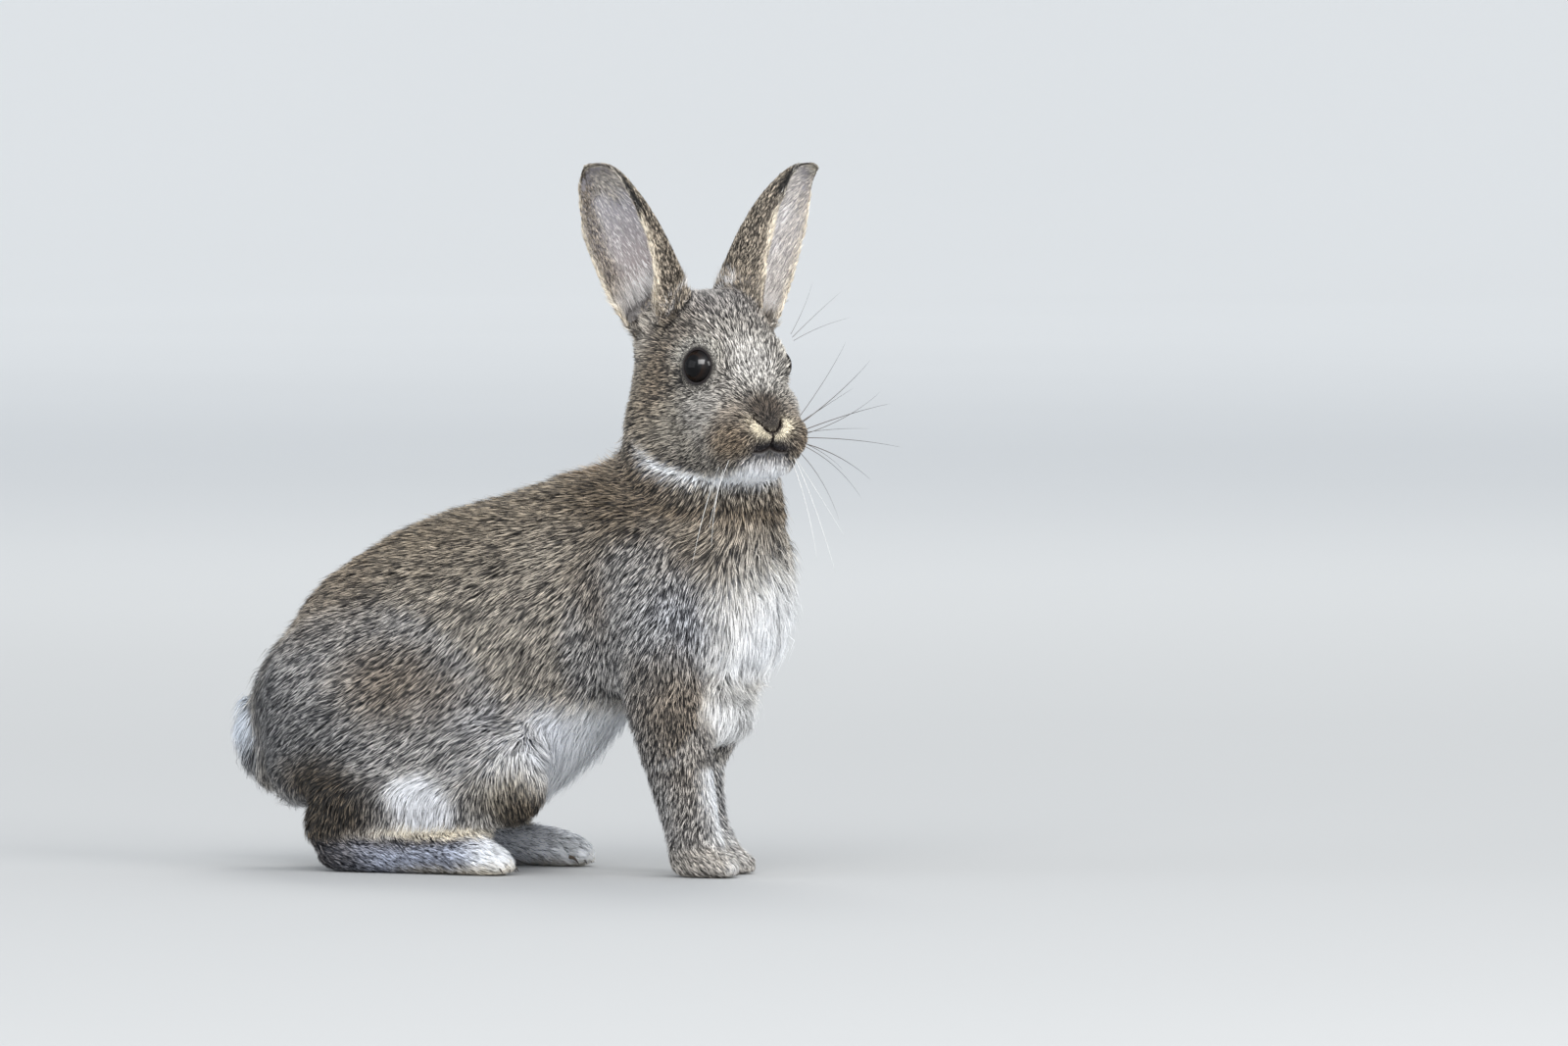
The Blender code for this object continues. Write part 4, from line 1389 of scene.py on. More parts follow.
@dataclass
class Skin:
    """One skin in place of all the nodes of flesh, inside them by the depth of the coat."""

    anatomy: Anatomy
    pattern: Pattern
    voxel: float = 0.85
    grow: float = 0.35  # how far the solids swell to close the gaps between them
    left_leg_back: float = 3.6
    # bare skin low in the ears, high in the ears, and at the lids and lips; the last, near black, is also
    # painted shade in the slits of the nose and mouth
    hides: tuple = ((0.5, 0.435, 0.43), (0.44, 0.425, 0.46), (0.02, 0.015, 0.015))
    ears: dict = field(init=False)
    lids: dict = field(init=False)
    muzzle: Muzzle = field(default_factory=Muzzle)
    # the white line along the jaw, ahead of and above the nose tip
    jaw: tuple = ((-48.0, -3.0), (-38.0, -9.6), (-30.7, -12.2), (-25.9, -13.0), (-9.8, -12.2), (-5.0, -10.5))
    verts: Array = field(init=False)
    tris: Array = field(init=False)
    normals: Array = field(init=False)
    labels: Array = field(init=False)
    cloth: Cloth = field(init=False)
    bare: Array = field(init=False)
    bare_ear: Array = field(init=False)
    inner_ear: Array = field(init=False)
    ear_spot: Array = field(init=False)  # share of the ear's length, and place across it from -1 to 1
    mesh: Mesh = field(init=False)
    dark: Array = field(init=False)  # how deep in a nostril or between the lips, which also paints the skin there near black as shade
    lash: Array = field(init=False)  # how near the edge of a lid
    # how far each part's vertices go towards their neighbours when facets are smoothed out
    settling: dict = field(default_factory=lambda: {"ear": 0.1, "forepaw": 0.22, "hind_foot": 0.22,
                                                    "forearm": 0.35, "tail": 0.35, "head": 0.22})

    def __post_init__(self) -> None:
        """Makes the ears and lids from the anatomy."""
        a = self.anatomy
        self.ears = {side: Ear(a.ears[side], pose.ear_length, pose.tip_back) for side, pose in POSES.items()}
        self.lids = {side: Lids(a.head.inside(a.eyes[side]), a.ball, side.value, pose.gaze)
                     for side, pose in POSES.items()}

    def build(self) -> None:
        """Makes the skin's vertices, triangles and what they carry."""
        mesh = self.remeshed()
        verts, edges = self.read(mesh)
        labels = self.pattern.labels(verts)
        web = Web(len(verts), edges)
        verts = self.settled(verts, labels, web)
        move_to(mesh, self.sunk(mesh, verts, labels, web))
        self.refine(mesh)
        verts, edges = self.read(mesh)
        self.tris = triangles(mesh)
        web = Web(len(verts), edges)
        self.verts = verts = self.carved(self.calmed(verts, web))
        self.normals = vertex_normals(verts, self.tris)
        self.labels = self.pattern.labels(verts)
        self.mesh = mesh
        move_to(mesh, verts)
        self.dress(web)
        log.info("skin: %d vertices, %d triangles", len(verts), len(self.tris))

    def remeshed(self) -> Mesh:
        """Returns one closed mesh round all the flesh, the smooth ears and the eyeballs."""
        parts = []
        for name, obj in sorted(self.anatomy.nodes.items()):
            if name.startswith("ear_"):
                parts.append(self.ears[Side[name[4:].upper()]].loft())
            else:
                verts, tris = welded(obj.data)
                parts.append((verts + vertex_normals(verts, tris) * self.grow, tris))
        verts, tris, _ = joined(parts)
        obj = make_object(make_mesh("flesh", verts, [tris]))
        fuse = obj.modifiers.new("fuse", "REMESH")
        fuse.mode = "VOXEL"
        fuse.voxel_size = self.voxel * MM
        made = bpy.data.meshes.new_from_object(obj.evaluated_get(bpy.context.evaluated_depsgraph_get()))
        bpy.data.objects.remove(obj)
        return made

    @staticmethod
    def read(mesh: Mesh) -> tuple:
        """Returns a mesh's vertices in mm and its edges."""
        return places(mesh), pulled(mesh.edges, "vertices", 2, np.int32)

    def settled(self, verts: Array, labels: Array, web: Web) -> Array:
        """Smooths the solids' facets out, least on the ears and feet.

        Args:
            verts: The skin's vertices.
            labels: The number of the node that each belongs to.
            web: Who is whose neighbour.

        Returns:
            The smoother vertices.
        """
        is_part = self.pattern.is_part
        amount = np.full(len(verts), 0.5)
        for start, share in self.settling.items():
            amount[is_part(labels, start)] = share
        verts = web.level(verts, 22, web.smooth(amount, 8), 0.55)
        elbow = is_part(labels, ("forearm", "shoulder"))
        elbow = elbow * ease(verts[:, 2], 28.0, 36.0) * ease(verts[:, 2], 58.0, 48.0)
        verts = web.smooth(verts, 40, web.smooth(elbow, 6) * 0.5)
        left_leg = web.smooth(is_part(labels, ("forearm_left", "shoulder_left")), 20)
        height = verts[:, 2]
        verts[:, 0] -= self.left_leg_back * left_leg * ease(height, 7.0, 20.0) * ease(height, 62.0, 42.0)
        return verts

    def sunk(self, mesh: Mesh, verts: Array, labels: Array, web: Web) -> Array:
        """Moves the skin in by the coat's depth.

        Args:
            mesh: The skin's mesh.
            verts: The skin's vertices.
            labels: The number of the node that each belongs to.
            web: Who is whose neighbour.

        Returns:
            The vertices, moved.
        """
        normals = web.smooth(vertex_normals(verts, triangles(mesh)), 4)
        growth = self.pattern.growth(verts, labels, web)
        depth = growth["depth"] + growth["sink"]
        head = self.anatomy.head.inside(verts)
        for lid in self.lids.values():
            far = np.linalg.norm(head - lid.centre, axis=1)
            depth = depth + (0.5 - depth) * ease(far, lid.radius + 7.0, lid.radius + 1.0)
        depth = web.smooth(depth, 6)
        return verts - unit(normals) * (depth + self.grow * ~self.pattern.is_part(labels, "ear"))[:, None]

    def refine(self, mesh: Mesh) -> None:
        """Divides the faces on the head and toes, and once more those of the eyes, nose and mouth.

        Args:
            mesh: The skin's mesh, which it changes.
        """
        bm = bmesh.new()
        bm.from_mesh(mesh)
        head = self.anatomy.head
        for finer in (False, True):
            centres = np.array([face.calc_center_median() for face in bm.faces]) / MM
            at = head.inside(centres)
            close = within(at, (-11.5, -11.0, -10.0), (math.inf, 11.0, 8.5))
            for lid in self.lids.values():
                close |= np.linalg.norm(at - lid.centre, axis=1) < lid.radius + (2.6 if finer else 6.0)
            if not finer:
                close |= within(at, (-30.0, -math.inf, -22.0), (math.inf, math.inf, 44.0))
                for foot in FEET:
                    low, high = solid_box(foot)
                    low[0] = high[0] - 17
                    close |= within(centres, low - 0.5, high + 0.5)
            bm.faces.ensure_lookup_table()
            edges = {edge for index in np.flatnonzero(close) for edge in bm.faces[index].edges}
            bmesh.ops.subdivide_edges(bm, edges=list(edges), cuts=1, use_grid_fill=True)
        bmesh.ops.triangulate(bm, faces=[face for face in bm.faces if len(face.verts) > 4])
        bm.to_mesh(mesh)
        bm.free()

    def calmed(self, verts: Array, web: Web) -> Array:
        """Returns the vertices with the steps that dividing left smoothed out on the face and feet."""
        face = 0.5 * ease(self.anatomy.head.inside(verts)[:, 0], -46.0, -34.0)
        return web.level(verts, 5, np.maximum(face, np.where(verts[:, 2] < 14.0, 0.4, 0.0)), 0.6)

    def carved(self, verts: Array) -> Array:
        """Cuts the lids, nose, mouth and toes.

        Args:
            verts: The skin's vertices.

        Returns:
            The vertices, moved.
        """
        axes = self.anatomy.head
        normals = vertex_normals(verts, self.tris) @ axes.turn
        local = axes.inside(verts)
        local, self.dark = self.muzzle.shape(local, normals)
        for lid in self.lids.values():
            local = lid.shape(local)
        verts = axes.out(local)
        for side in Side:
            normals = vertex_normals(verts, self.tris)
            verts = Toes("hind_foot_" + side.word, 17.0, depth=1.2).shape(verts, normals)
            verts = Toes("forepaw_" + side.word, 10.0, depth=1.0).shape(verts, normals)
        verts[:, 2] = np.maximum(verts[:, 2], 0.05)
        return verts

    def ear_place(self) -> None:
        """Finds which vertices are inside an ear's cup, and where they are on its blade."""
        self.inner_ear = np.zeros(len(self.verts))
        self.ear_spot = np.zeros((len(self.verts), 2))
        for side, ear in self.ears.items():
            here = self.pattern.is_part(self.labels, "ear_" + side.word)
            local = ear.axes.inside(self.verts[here])
            faces = self.normals[here] @ ear.axes.turn
            rows = smooth_rows(ear.rows, 6)
            share = local[:, 2] / ear.length
            local[:, 0] += ear.bend(share)
            curl = np.interp(share, rows[:, 0], rows[:, 2])
            out = unit(local[:, :2])
            angle = np.degrees(np.arctan2(local[:, 1], -local[:, 0]))
            turn = np.radians(curl)
            radius = ear.radius(np.interp(share, rows[:, 0], rows[:, 1]), turn)
            halfway = radius - 0.5 * ear.thickness(np.clip(np.radians(angle) / turn, -1, 1))
            deep = ease(np.linalg.norm(local[:, :2], axis=1) - halfway, 0.5, -0.3)
            inwards = ease(-(faces[:, :2] * out).sum(1), -0.3, 0.3)
            self.inner_ear[here] = inwards * deep * ease(share, 0.02, 0.12)
            self.ear_spot[here, 0] = share
            self.ear_spot[here, 1] = np.clip(angle / curl, -1.2, 1.2) * -side.value

    def dress(self, web: Web) -> None:
        """Works out the coat's growth and colours, and the skin's own bareness.

        Args:
            web: Who is whose neighbour.
        """
        self.ear_place()
        growth = self.pattern.growth(self.verts, self.labels, web)
        tones = self.pattern.tones(self.verts, self.labels, web)
        head = self.anatomy.head.inside(self.verts)
        # painted shade: the slits of the nose and mouth become bare, near-black skin by how deep they go
        bare = np.clip(self.dark * 1.3, 0, 1)
        self.lash = np.zeros(len(self.verts))
        for lid in self.lids.values():
            far, past, way = lid.measure(head)
            near = far < lid.radius + 6
            bare = np.maximum(bare, ease(past, 2.2, 0.9) * near)
            self.lash = np.maximum(self.lash, ease(past, 4.2, 1.6) * near)
            ring = ease(past, 34.0, 10.0) * near
            growth["length"] = 1.3 + (growth["length"] - 1.3) * (1 - ring)
            growth["length"] *= 1 - 0.55 * ease(past, 9.0, 3.0) * near
            blend(growth, ring, depth=0.35, width=0.19, density=11.0)
            out = unit(way - (way @ lid.axis)[:, None] * lid.axis)
            push = (ease(past, 55.0, 6.0) * near * 1.25)[:, None]
            growth["lie"] += (out @ self.anatomy.head.turn.T) * push
            pale = ease(past, 38.0, 22.0) * ease(past, 4.0, 8.0) * near
            above = 0.12 + 0.7 * ease(way[:, 2], -0.3, 0.35)
            self.tint(tones, pale * above, EYE_RING)
        self.tint(tones, self.lash, BLACK)
        self.face_tones(tones, growth, head)
        self.ear_tones(tones, growth)
        growth["density"] *= 1 - ease(bare, 0.25, 0.6)
        under = (self.verts[:, 2] < 0.9) & (self.normals[:, 2] < -0.5)
        growth["density"][under] *= 0.25
        hidden = ease(-self.normals[:, 2], 0.55, 0.9) * ease(self.verts[:, 2], 4.0, 8.0)
        growth["density"] *= 1 - 0.30 * hidden
        lie = growth.pop("lie")
        for _ in range(3):
            lie = lie - (lie * self.normals).sum(1)[:, None] * self.normals
            lie = web.smooth(unit(lie), 4)
        lie = unit(lie - (lie * self.normals).sum(1)[:, None] * self.normals)
        self.bare = np.maximum(bare, self.bare_ear)
        self.cloth = Cloth(growth, lie, **tones)

    @staticmethod
    def tint(tones: dict, share: Array, tone: Tone) -> None:
        """Draws the colours towards a tone by a share at each vertex."""
        share = np.clip(share, 0, 1)
        for key, values in tones.items():
            values += (getattr(tone, key) - values) * (share if values.ndim == 1 else share[:, None])

    def face_tones(self, tones: dict, growth: dict, head: Array) -> None:
        """Colours the wings of the nose and the lips, and shortens the hair on them.

        Args:
            tones: The colours, which it changes.
            growth: The numbers of the fur's growth, which it changes.
            head: The vertices in the head's axes.
        """
        f, l, u = head.T
        front = ease(f, -9.0, -6.0)
        flat = np.column_stack([np.abs(l), u])
        wing = path_distance(flat, self.muzzle.wing)
        mouth = path_distance(flat, ((0.0, -2.6), (2.0, -3.0), (4.4, -3.4)))
        slit = path_distance(flat, self.muzzle.nostril)
        self.tint(tones, hill(wing, 1.6) * front, NOSE_WING)
        self.tint(tones, hill(mouth, 2.1) * front, LIPS)
        jaw = path_distance(np.column_stack([f, u]), self.jaw)
        white = hill(jaw, 1.9) * self.pattern.is_part(self.labels, "head")
        self.tint(tones, white * ease(f, -50.0, -38.0), WHITE)
        blend(growth, white, length=3.4)
        short = np.clip(hill(wing, 1.3) + hill(slit, 1.6) + hill(mouth, 2.0), 0, 1) * front
        blend(growth, short, length=1.1, depth=0.4, density=13.0, width=0.17)

    def ear_tones(self, tones: dict, growth: dict) -> None:
        """Colours the ears and thins the hair inside them.

        Args:
            tones: The colours, which it changes.
            growth: The numbers of the fur's growth, which it changes.
        """
        is_part = self.pattern.is_part
        on_ear = is_part(self.labels, "ear").astype(float)
        share, across = self.ear_spot.T  # across is 1 at the edge next to the other ear
        wave = 0.07 * noise(self.verts, 5.0, 31) + 0.05 * noise(self.verts, 1.8, 32)
        inner = self.inner_ear * on_ear
        outer = on_ear * (1 - inner)
        edge = ease(np.abs(across), 0.82, 0.98) * on_ear * ease(share, 0.02, 0.2)
        tip = ease(share + wave, 0.68, 0.8)
        low = ease(share, 0.34, 0.08)
        band = ease(-across + wave, 0.45, 0.75)
        self.tint(tones, outer * 0.95, EAR_BACK)
        self.tint(tones, outer * ease(-across, 0.35, 0.85) * 0.5, TAN)
        self.tint(tones, inner, EAR_INSIDE)
        left = is_part(self.labels, "ear_left")
        self.tint(tones, inner * tip * np.where(left, 0.35, 0.85), EAR_INNER_TIP)
        self.tint(tones, inner * band * (1 - low) * np.where(left, 0.3, 0.85), EAR_BAND)
        self.tint(tones, edge * 0.9, EAR_RIM)
        black = ease(share + wave, 0.54, 0.66) * ease(share, 1.0, 0.96) * ease(across, 0.7, 0.86)
        self.tint(tones, on_ear * ease(share, 0.93, 0.975) * 0.9, EAR_END)
        self.tint(tones, black * (1 - inner) * on_ear, BLACK)
        thin = (1 - band) * ease(across, 0.92, 0.78) * (1 - tip) * (1 - low) * np.where(left, 0.25, 1.0)
        blend(growth, inner, density=6.0 - 4.5 * thin, length=3.2 + 5.5 * low, width=0.18,
              depth=0.8 + 1.4 * low)
        growth["length"] += edge
        growth["lift"] += edge * 0.8
        self.bare_ear = inner * ease(share, 0.12, 0.3)

    def piece(self) -> Object:
        """Finishes the skin's mesh.

        Returns:
            The skin.
        """
        mesh = self.mesh
        mesh.polygons.foreach_set("use_smooth", np.ones(len(mesh.polygons), bool))
        mesh.name = "skin"
        c = self.cloth
        mean = c.dark + (c.pale - c.dark) * np.clip(c.share * 0.9, 0, 1)[:, None]
        pink, dusk, black = (np.array(colour) for colour in self.hides)
        ear = pink + (dusk - pink) * ease(self.ear_spot[:, 0], 0.25, 0.7)[:, None]
        # the skin under the coat is half the coat's mean colour: partly the dark underfur, partly painted
        # shade in the gaps between hairs
        carry(mesh, "tone", mean * 0.5)
        carry(mesh, "hide", np.where(self.bare_ear[:, None] > 0.02, ear, black))
        wet = np.maximum(self.lash, self.dark)
        carry(mesh, "bareness", np.column_stack([self.bare, wet, self.bare_ear * 0.6]))
        unwrap(mesh, "OFBake", 0.001)
        obj = make_object(mesh, SkinFinish("skin_hide").material())
        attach(obj, "root")
        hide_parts(*self.anatomy.flesh)
        return obj


# -------- coat


@dataclass
class Patch:
    """One piece of the coat."""

    name: str
    starts: tuple  # the nodes that it covers, by how their names start
    slot: str = "coat"
    half: Optional[Side] = None  # only on this side of them
    reach: tuple = (-math.inf, math.inf)  # only between these places along the body
    rows: tuple = (0.0, 0.52)  # where along a hair it has two corners

    @property
    def per_hair(self) -> int:
        """How many triangles a hair has."""
        return 2 * len(self.rows) - 1

    def owns(self, points: Array, head: Axes) -> Array:
        """Returns which points of its nodes are its own."""
        across = (head.inside(points) if "head" in self.starts else points)[:, 1]
        own = (points[:, 0] >= self.reach[0]) & (points[:, 0] < self.reach[1])
        return own if self.half is None else own & ((across >= 0) == (self.half is Side.LEFT))


TRUNK_PARTS = {"rump": (-math.inf, -35.0), "flank": (-35.0, 22.0), "chest": (22.0, math.inf)}


@dataclass
class Coat:
    """Tufts of fur over the skin, in pieces."""

    skin: Skin
    thickness: float = 1.0  # multiplies the number of hairs
    seed: int = 7
    most: int = 196_000
    guards: float = 0.42  # how many hairs are long ones of the outer coat
    bake_patch: float = 0.003  # the side of a hair's square on the map for baking
    total: int = field(default=0, init=False)
    tree: BVHTree = field(init=False)

    def patches(self) -> list:
        """Returns the pieces that the coat is made in."""
        short = (0.0, 0.55)
        made = []
        for half in Side:
            word = half.word
            made += [Patch(f"coat_{part}_{word}", ("trunk",), half=half, reach=reach)
                     for part, reach in TRUNK_PARTS.items()]
            made += [Patch(f"coat_thigh_{word}", (f"thigh_{word}",)),
                     Patch(f"coat_shank_{word}", (f"shank_{word}",)),
                     Patch(f"coat_foreleg_{word}", (f"shoulder_{word}", f"forearm_{word}")),
                     Patch(f"coat_paws_{word}", (f"forepaw_{word}", f"hind_foot_{word}"), "foot_fur",
                           rows=short),
                     Patch(f"coat_ear_{word}", (f"ear_{word}",), "ear_fur", rows=short)]
        made += [Patch(f"coat_face_{half.word}", ("head",), half=half, rows=short) for half in Side]
        return made + [Patch("coat_neck", ("neck",)), Patch("coat_tail", ("tail",), "tail_fur")]

    def build(self) -> list:
        """Makes every piece of the coat.

        Returns:
            The pieces.
        """
        skin = self.skin
        self.tree = BVHTree.FromPolygons(skin.verts.tolist(), skin.tris.tolist())
        finish = FurFinish("coat_fur").material()
        middles = skin.verts[skin.tris].mean(axis=1)
        owners = skin.labels[skin.tris[:, 0]]
        objects = []
        for number, patch in enumerate(self.patches()):
            chosen = skin.pattern.is_part(owners, patch.starts) & patch.owns(middles, skin.anatomy.head)
            obj = self.piece(patch, np.flatnonzero(chosen), finish, self.seed + number)
            if obj is not None:
                objects.append(obj)
        log.info("coat: %d pieces, %d triangles", len(objects), self.total)
        return objects

    def piece(self, patch: Patch, faces: Array, finish: Material,
              seed: int) -> Optional[Object]:
        """Makes one piece.

        Args:
            patch: The piece's plan.
            faces: The skin's triangles that it grows on.
            finish: Its material.
            seed: Which random numbers to use.

        Returns:
            The piece, or None where nothing grows.
        """
        rng = default_rng(seed)
        roots = self.roots(faces, patch, rng)
        if roots is None:
            return None
        curve = self.comb(roots, rng)
        self.gather(curve, roots, rng)
        mesh = self.strips(patch, roots, curve, rng)
        obj = make_object(mesh, finish)
        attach(obj, "root")
        count = len(roots["at"]) * patch.per_hair
        self.total += count
        log.info("%s: %d hairs, %d triangles", patch.name, len(roots["at"]), count)
        return obj

    def roots(self, faces: Array, patch: Patch, rng: Generator) -> Optional[dict]:
        """Scatters hair roots over triangles.

        Args:
            faces: Which of the skin's triangles.
            patch: The piece's plan.
            rng: The random numbers.

        Returns:
            Arrays by name for the hairs, or None where nothing grows.
        """
        skin = self.skin
        tris = skin.tris[faces]
        a, b, c = (skin.verts[tris[:, i]] for i in range(3))
        area = np.linalg.norm(np.cross(b - a, c - a), axis=1) / 2
        numbers = skin.cloth.numbers
        expected = area * np.maximum(numbers["density"][tris].mean(axis=1), 0) * self.thickness
        count = int(min(expected.sum(), self.most // patch.per_hair))
        if count < 3:
            return None
        ladder = np.cumsum(expected)
        marks = (np.arange(count) + rng.random(count)) / count * ladder[-1]
        which = np.minimum(np.searchsorted(ladder, marks), len(tris) - 1)
        spread = np.sqrt(rng.random(count))
        turn = rng.random(count)
        weights = np.column_stack([1 - spread, spread * (1 - turn), spread * turn])
        corners = tris[which]

        def at(values: Array) -> Array:
            """Returns what the skin carries at each root."""
            picked = values[corners]
            return (picked * weights.reshape(weights.shape + (1,) * (picked.ndim - 2))).sum(axis=1)

        out = {"at": at(skin.verts), "normal": unit(at(skin.normals)), "lie": unit(at(skin.cloth.lie)),
               "where": self.unfolded(faces, patch.name)[which], "weights": weights}
        out.update({key: at(getattr(skin.cloth, key)) for key in ("pale", "dark", "share", "tick")})
        return out | {key: at(numbers[key]) for key in FUR_NUMBERS}

    def unfolded(self, faces: Array, name: str) -> Array:
        """Unwraps the skin under one piece.

        Args:
            faces: Which of the skin's triangles.
            name: The piece's name.

        Returns:
            The map's three corners for each triangle.
        """
        tris = self.skin.tris[faces]
        used, back = np.unique(tris, return_inverse=True)
        mesh = make_mesh(name + "_map", self.skin.verts[used], [back.reshape(-1, 3)])
        unwrap(mesh, "OFBake")
        corners = pulled(mesh.uv_layers["OFBake"].data, "uv", 2)
        bpy.data.meshes.remove(mesh)
        return corners.reshape(-1, 3, 2)

    def comb(self, roots: dict, rng: Generator) -> dict:
        """Lays each hair along the skin.

        Args:
            roots: The hairs.
            rng: The random numbers.

        Returns:
            Three points of each hair's curve, and the skin's normal at its tip.
        """
        count = len(roots["at"])
        guard = roots["guard"] = rng.random(count) < self.guards
        long, short = rng.uniform(0.82, 1.15, count), rng.uniform(0.55, 0.85, count)
        length = roots["length"] * np.where(guard, long, short)
        mess = (1 + 0.6 * np.clip(roots["lift"] - 1, 0, 2)) * np.clip(roots["length"] / 7.5, 0.45, 1.0)
        swirl = (0.13 * noise(roots["at"], 9.0, 21) + 0.13 * noise(roots["at"], 2.6, 22)) * mess
        swirl += rng.normal(0, 0.11, count)
        side = np.cross(roots["normal"], roots["lie"])
        way = unit(roots["lie"] + side * swirl[:, None])
        aim = roots["at"] + way * length[:, None] * 0.94
        found = [self.tree.find_nearest(point) for point in aim.tolist()]
        points = np.array([hit[0] for hit in found])
        under = self.skin.tris[np.array([hit[2] for hit in found])]
        normals = unit(self.skin.normals[under].mean(axis=1))
        height = roots["depth"] * np.clip(np.where(guard, 0.96, 0.60) + rng.normal(0, 0.13, count), 0.2, 1.3)
        stray = roots["stray"] = guard & (rng.random(count) < 0.08 * roots["lift"])
        height = height * (1 + 0.22 * np.clip(roots["lift"] - 1, 0, 2))
        rise = rng.uniform(0.15, 0.62, count) * np.minimum(roots["lift"], 1.8)
        height = height + stray * roots["depth"] * rise
        height = height * (1 + 0.16 * noise(roots["at"], 3.4, 23) * roots["lift"])
        tip = points + normals * height[:, None]
        reach = np.linalg.norm(tip - roots["at"], axis=1)
        tip = roots["at"] + (tip - roots["at"]) * np.minimum(1.0, length / np.maximum(reach, 1e-6))[:, None]
        middle = roots["at"] + way * (length * 0.36)[:, None] + roots["normal"] * (height * 0.74)[:, None]
        base = roots["at"] - roots["normal"] * 0.12
        return {"base": base, "middle": middle, "tip": tip, "up": normals}

    def gather(self, curve: dict, roots: dict, rng: Generator) -> None:
        """Draws the tips of neighbouring hairs together into locks.

        Args:
            curve: The hairs' curves, which it changes.
            roots: The hairs.
            rng: The random numbers.
        """
        count = len(roots["at"])
        first = np.flatnonzero(roots["guard"])
        leaders = rng.choice(first, max(min(count // 5, len(first)), 1), replace=False)
        tree = KDTree(len(leaders))
        for index, leader in enumerate(leaders):
            tree.insert(roots["at"][leader], index)
        tree.balance()
        lock = np.array([tree.find(point)[1] for point in roots["at"].tolist()])
        nearest = leaders[lock]
        roots["mood"] = rng.random((len(leaders), 3))[lock]
        pull = np.clip(roots["clump"] * rng.uniform(0.55, 1.3, count), 0, 0.9)[:, None]
        shift = curve["tip"][nearest] - curve["tip"]
        rise = (shift * curve["up"]).sum(axis=1, keepdims=True) * ~roots["guard"][:, None]
        shift = (shift - rise * curve["up"]) * ~roots["stray"][:, None]
        far = np.linalg.norm(shift, axis=1, keepdims=True)
        shift *= np.minimum(1, 2.2 / np.maximum(far, 1e-6))
        curve["tip"] += shift * pull
        curve["middle"] += shift * pull * 0.30

    def strips(self, patch: Patch, roots: dict, curve: dict, rng: Generator) -> Mesh:
        """Makes the mesh of thin tapered strips.

        Args:
            patch: The piece's plan.
            roots: The hairs.
            curve: Their curves.
            rng: The random numbers.

        Returns:
            The mesh, with its two maps, colours and normals.
        """
        count = len(roots["at"])
        roll = rng.normal(0, 0.55, count)
        chance = rng.random((count, 3))
        rows = patch.rows
        per = patch.per_hair + 2
        verts = np.zeros((count, per, 3))
        normals = np.zeros((count, per, 3))
        along = np.zeros((count, per))
        across = np.zeros((count, per))
        base, middle, tip = curve["base"], curve["middle"], curve["tip"]
        width = roots["width"] * rng.uniform(0.75, 1.25, count) * np.where(roots["stray"], 0.6, 1.0)
        for k, t in enumerate((*rows, 1.0)):
            point = arc(base, middle, tip, t)
            run = unit((middle - base) * (1 - t) + (tip - middle) * t)
            up = unit(roots["normal"] * (1 - t) + curve["up"] * t)
            flat = unit(np.cross(run, up))
            lifted = np.cross(flat, run)
            side = flat * np.cos(roll)[:, None] + lifted * np.sin(roll)[:, None]
            face = np.cross(side, run)
            face = face * np.where((face * up).sum(1) < 0, -1, 1)[:, None]
            if k < len(rows):
                half = width * (0.5 if k else 0.36)
                for j, sign in enumerate((-1, 1)):
                    verts[:, 2 * k + j] = point + side * (half * sign)[:, None]
                    normals[:, 2 * k + j] = unit(up * 0.62 + face * 0.38 + side * 0.3 * sign)
                    along[:, 2 * k + j] = t
                    across[:, 2 * k + j] = j
            else:
                verts[:, -1] = point
                normals[:, -1] = unit(up * 0.62 + face * 0.38)
                along[:, -1] = 1.0
                across[:, -1] = 0.5
        start = np.arange(count)[:, None] * per
        quads = [start + np.array([2 * k, 2 * k + 1, 2 * k + 3, 2 * k + 2]) for k in range(len(rows) - 1)]
        ends = start + np.array([per - 3, per - 2, per - 1])
        faces = [np.vstack(quads), ends]
        verts[:, :, 2] = np.maximum(verts[:, :, 2], 0.02)
        mesh = make_mesh(patch.name, verts.reshape(-1, 3), faces)
        corner = np.concatenate([f.ravel() for f in faces])
        strand = np.stack([across, along], axis=-1)
        add_map(mesh, "strand", strand.reshape(-1, 2)[corner])
        root_place = (roots["where"] * roots["weights"][:, :, None]).sum(axis=1)[:, None, :]
        spot = np.clip(root_place + self.bake_patch * (strand - 0.5), 0, 1)
        add_map(mesh, "OFBake", spot.reshape(-1, 2)[corner])
        mood, tick = roots["mood"], roots["tick"]
        sombre = (0.7 * mood[:, 1] + 0.3 * rng.random(count) < tick * 0.66) & ~roots["stray"]
        pale = roots["pale"] + (roots["dark"] - roots["pale"]) * (sombre * 0.80)[:, None]
        # the under hairs are darker: partly the underfur's own slate, partly painted shade in the gaps
        # between locks
        under = 1 - 0.66 * np.clip(tick * 1.4 + 0.1, 0, 1)
        light = np.where(roots["guard"], 1.12, under) * (0.70 + 0.58 * mood[:, 0])
        light = light * rng.normal(1.0, 0.07, count)
        chance[:, 1] = 0.55 * mood[:, 2] + 0.45 * chance[:, 1]
        traits = np.column_stack([roots["share"], tick, light])
        for name, values in (("pale", pale), ("dark", roots["dark"]), ("traits", traits), ("chance", chance)):
            carry(mesh, name, np.repeat(values, per, axis=0))
        carry(mesh, "custom_normal", normals.reshape(-1, 3))
        return mesh


# -------- details


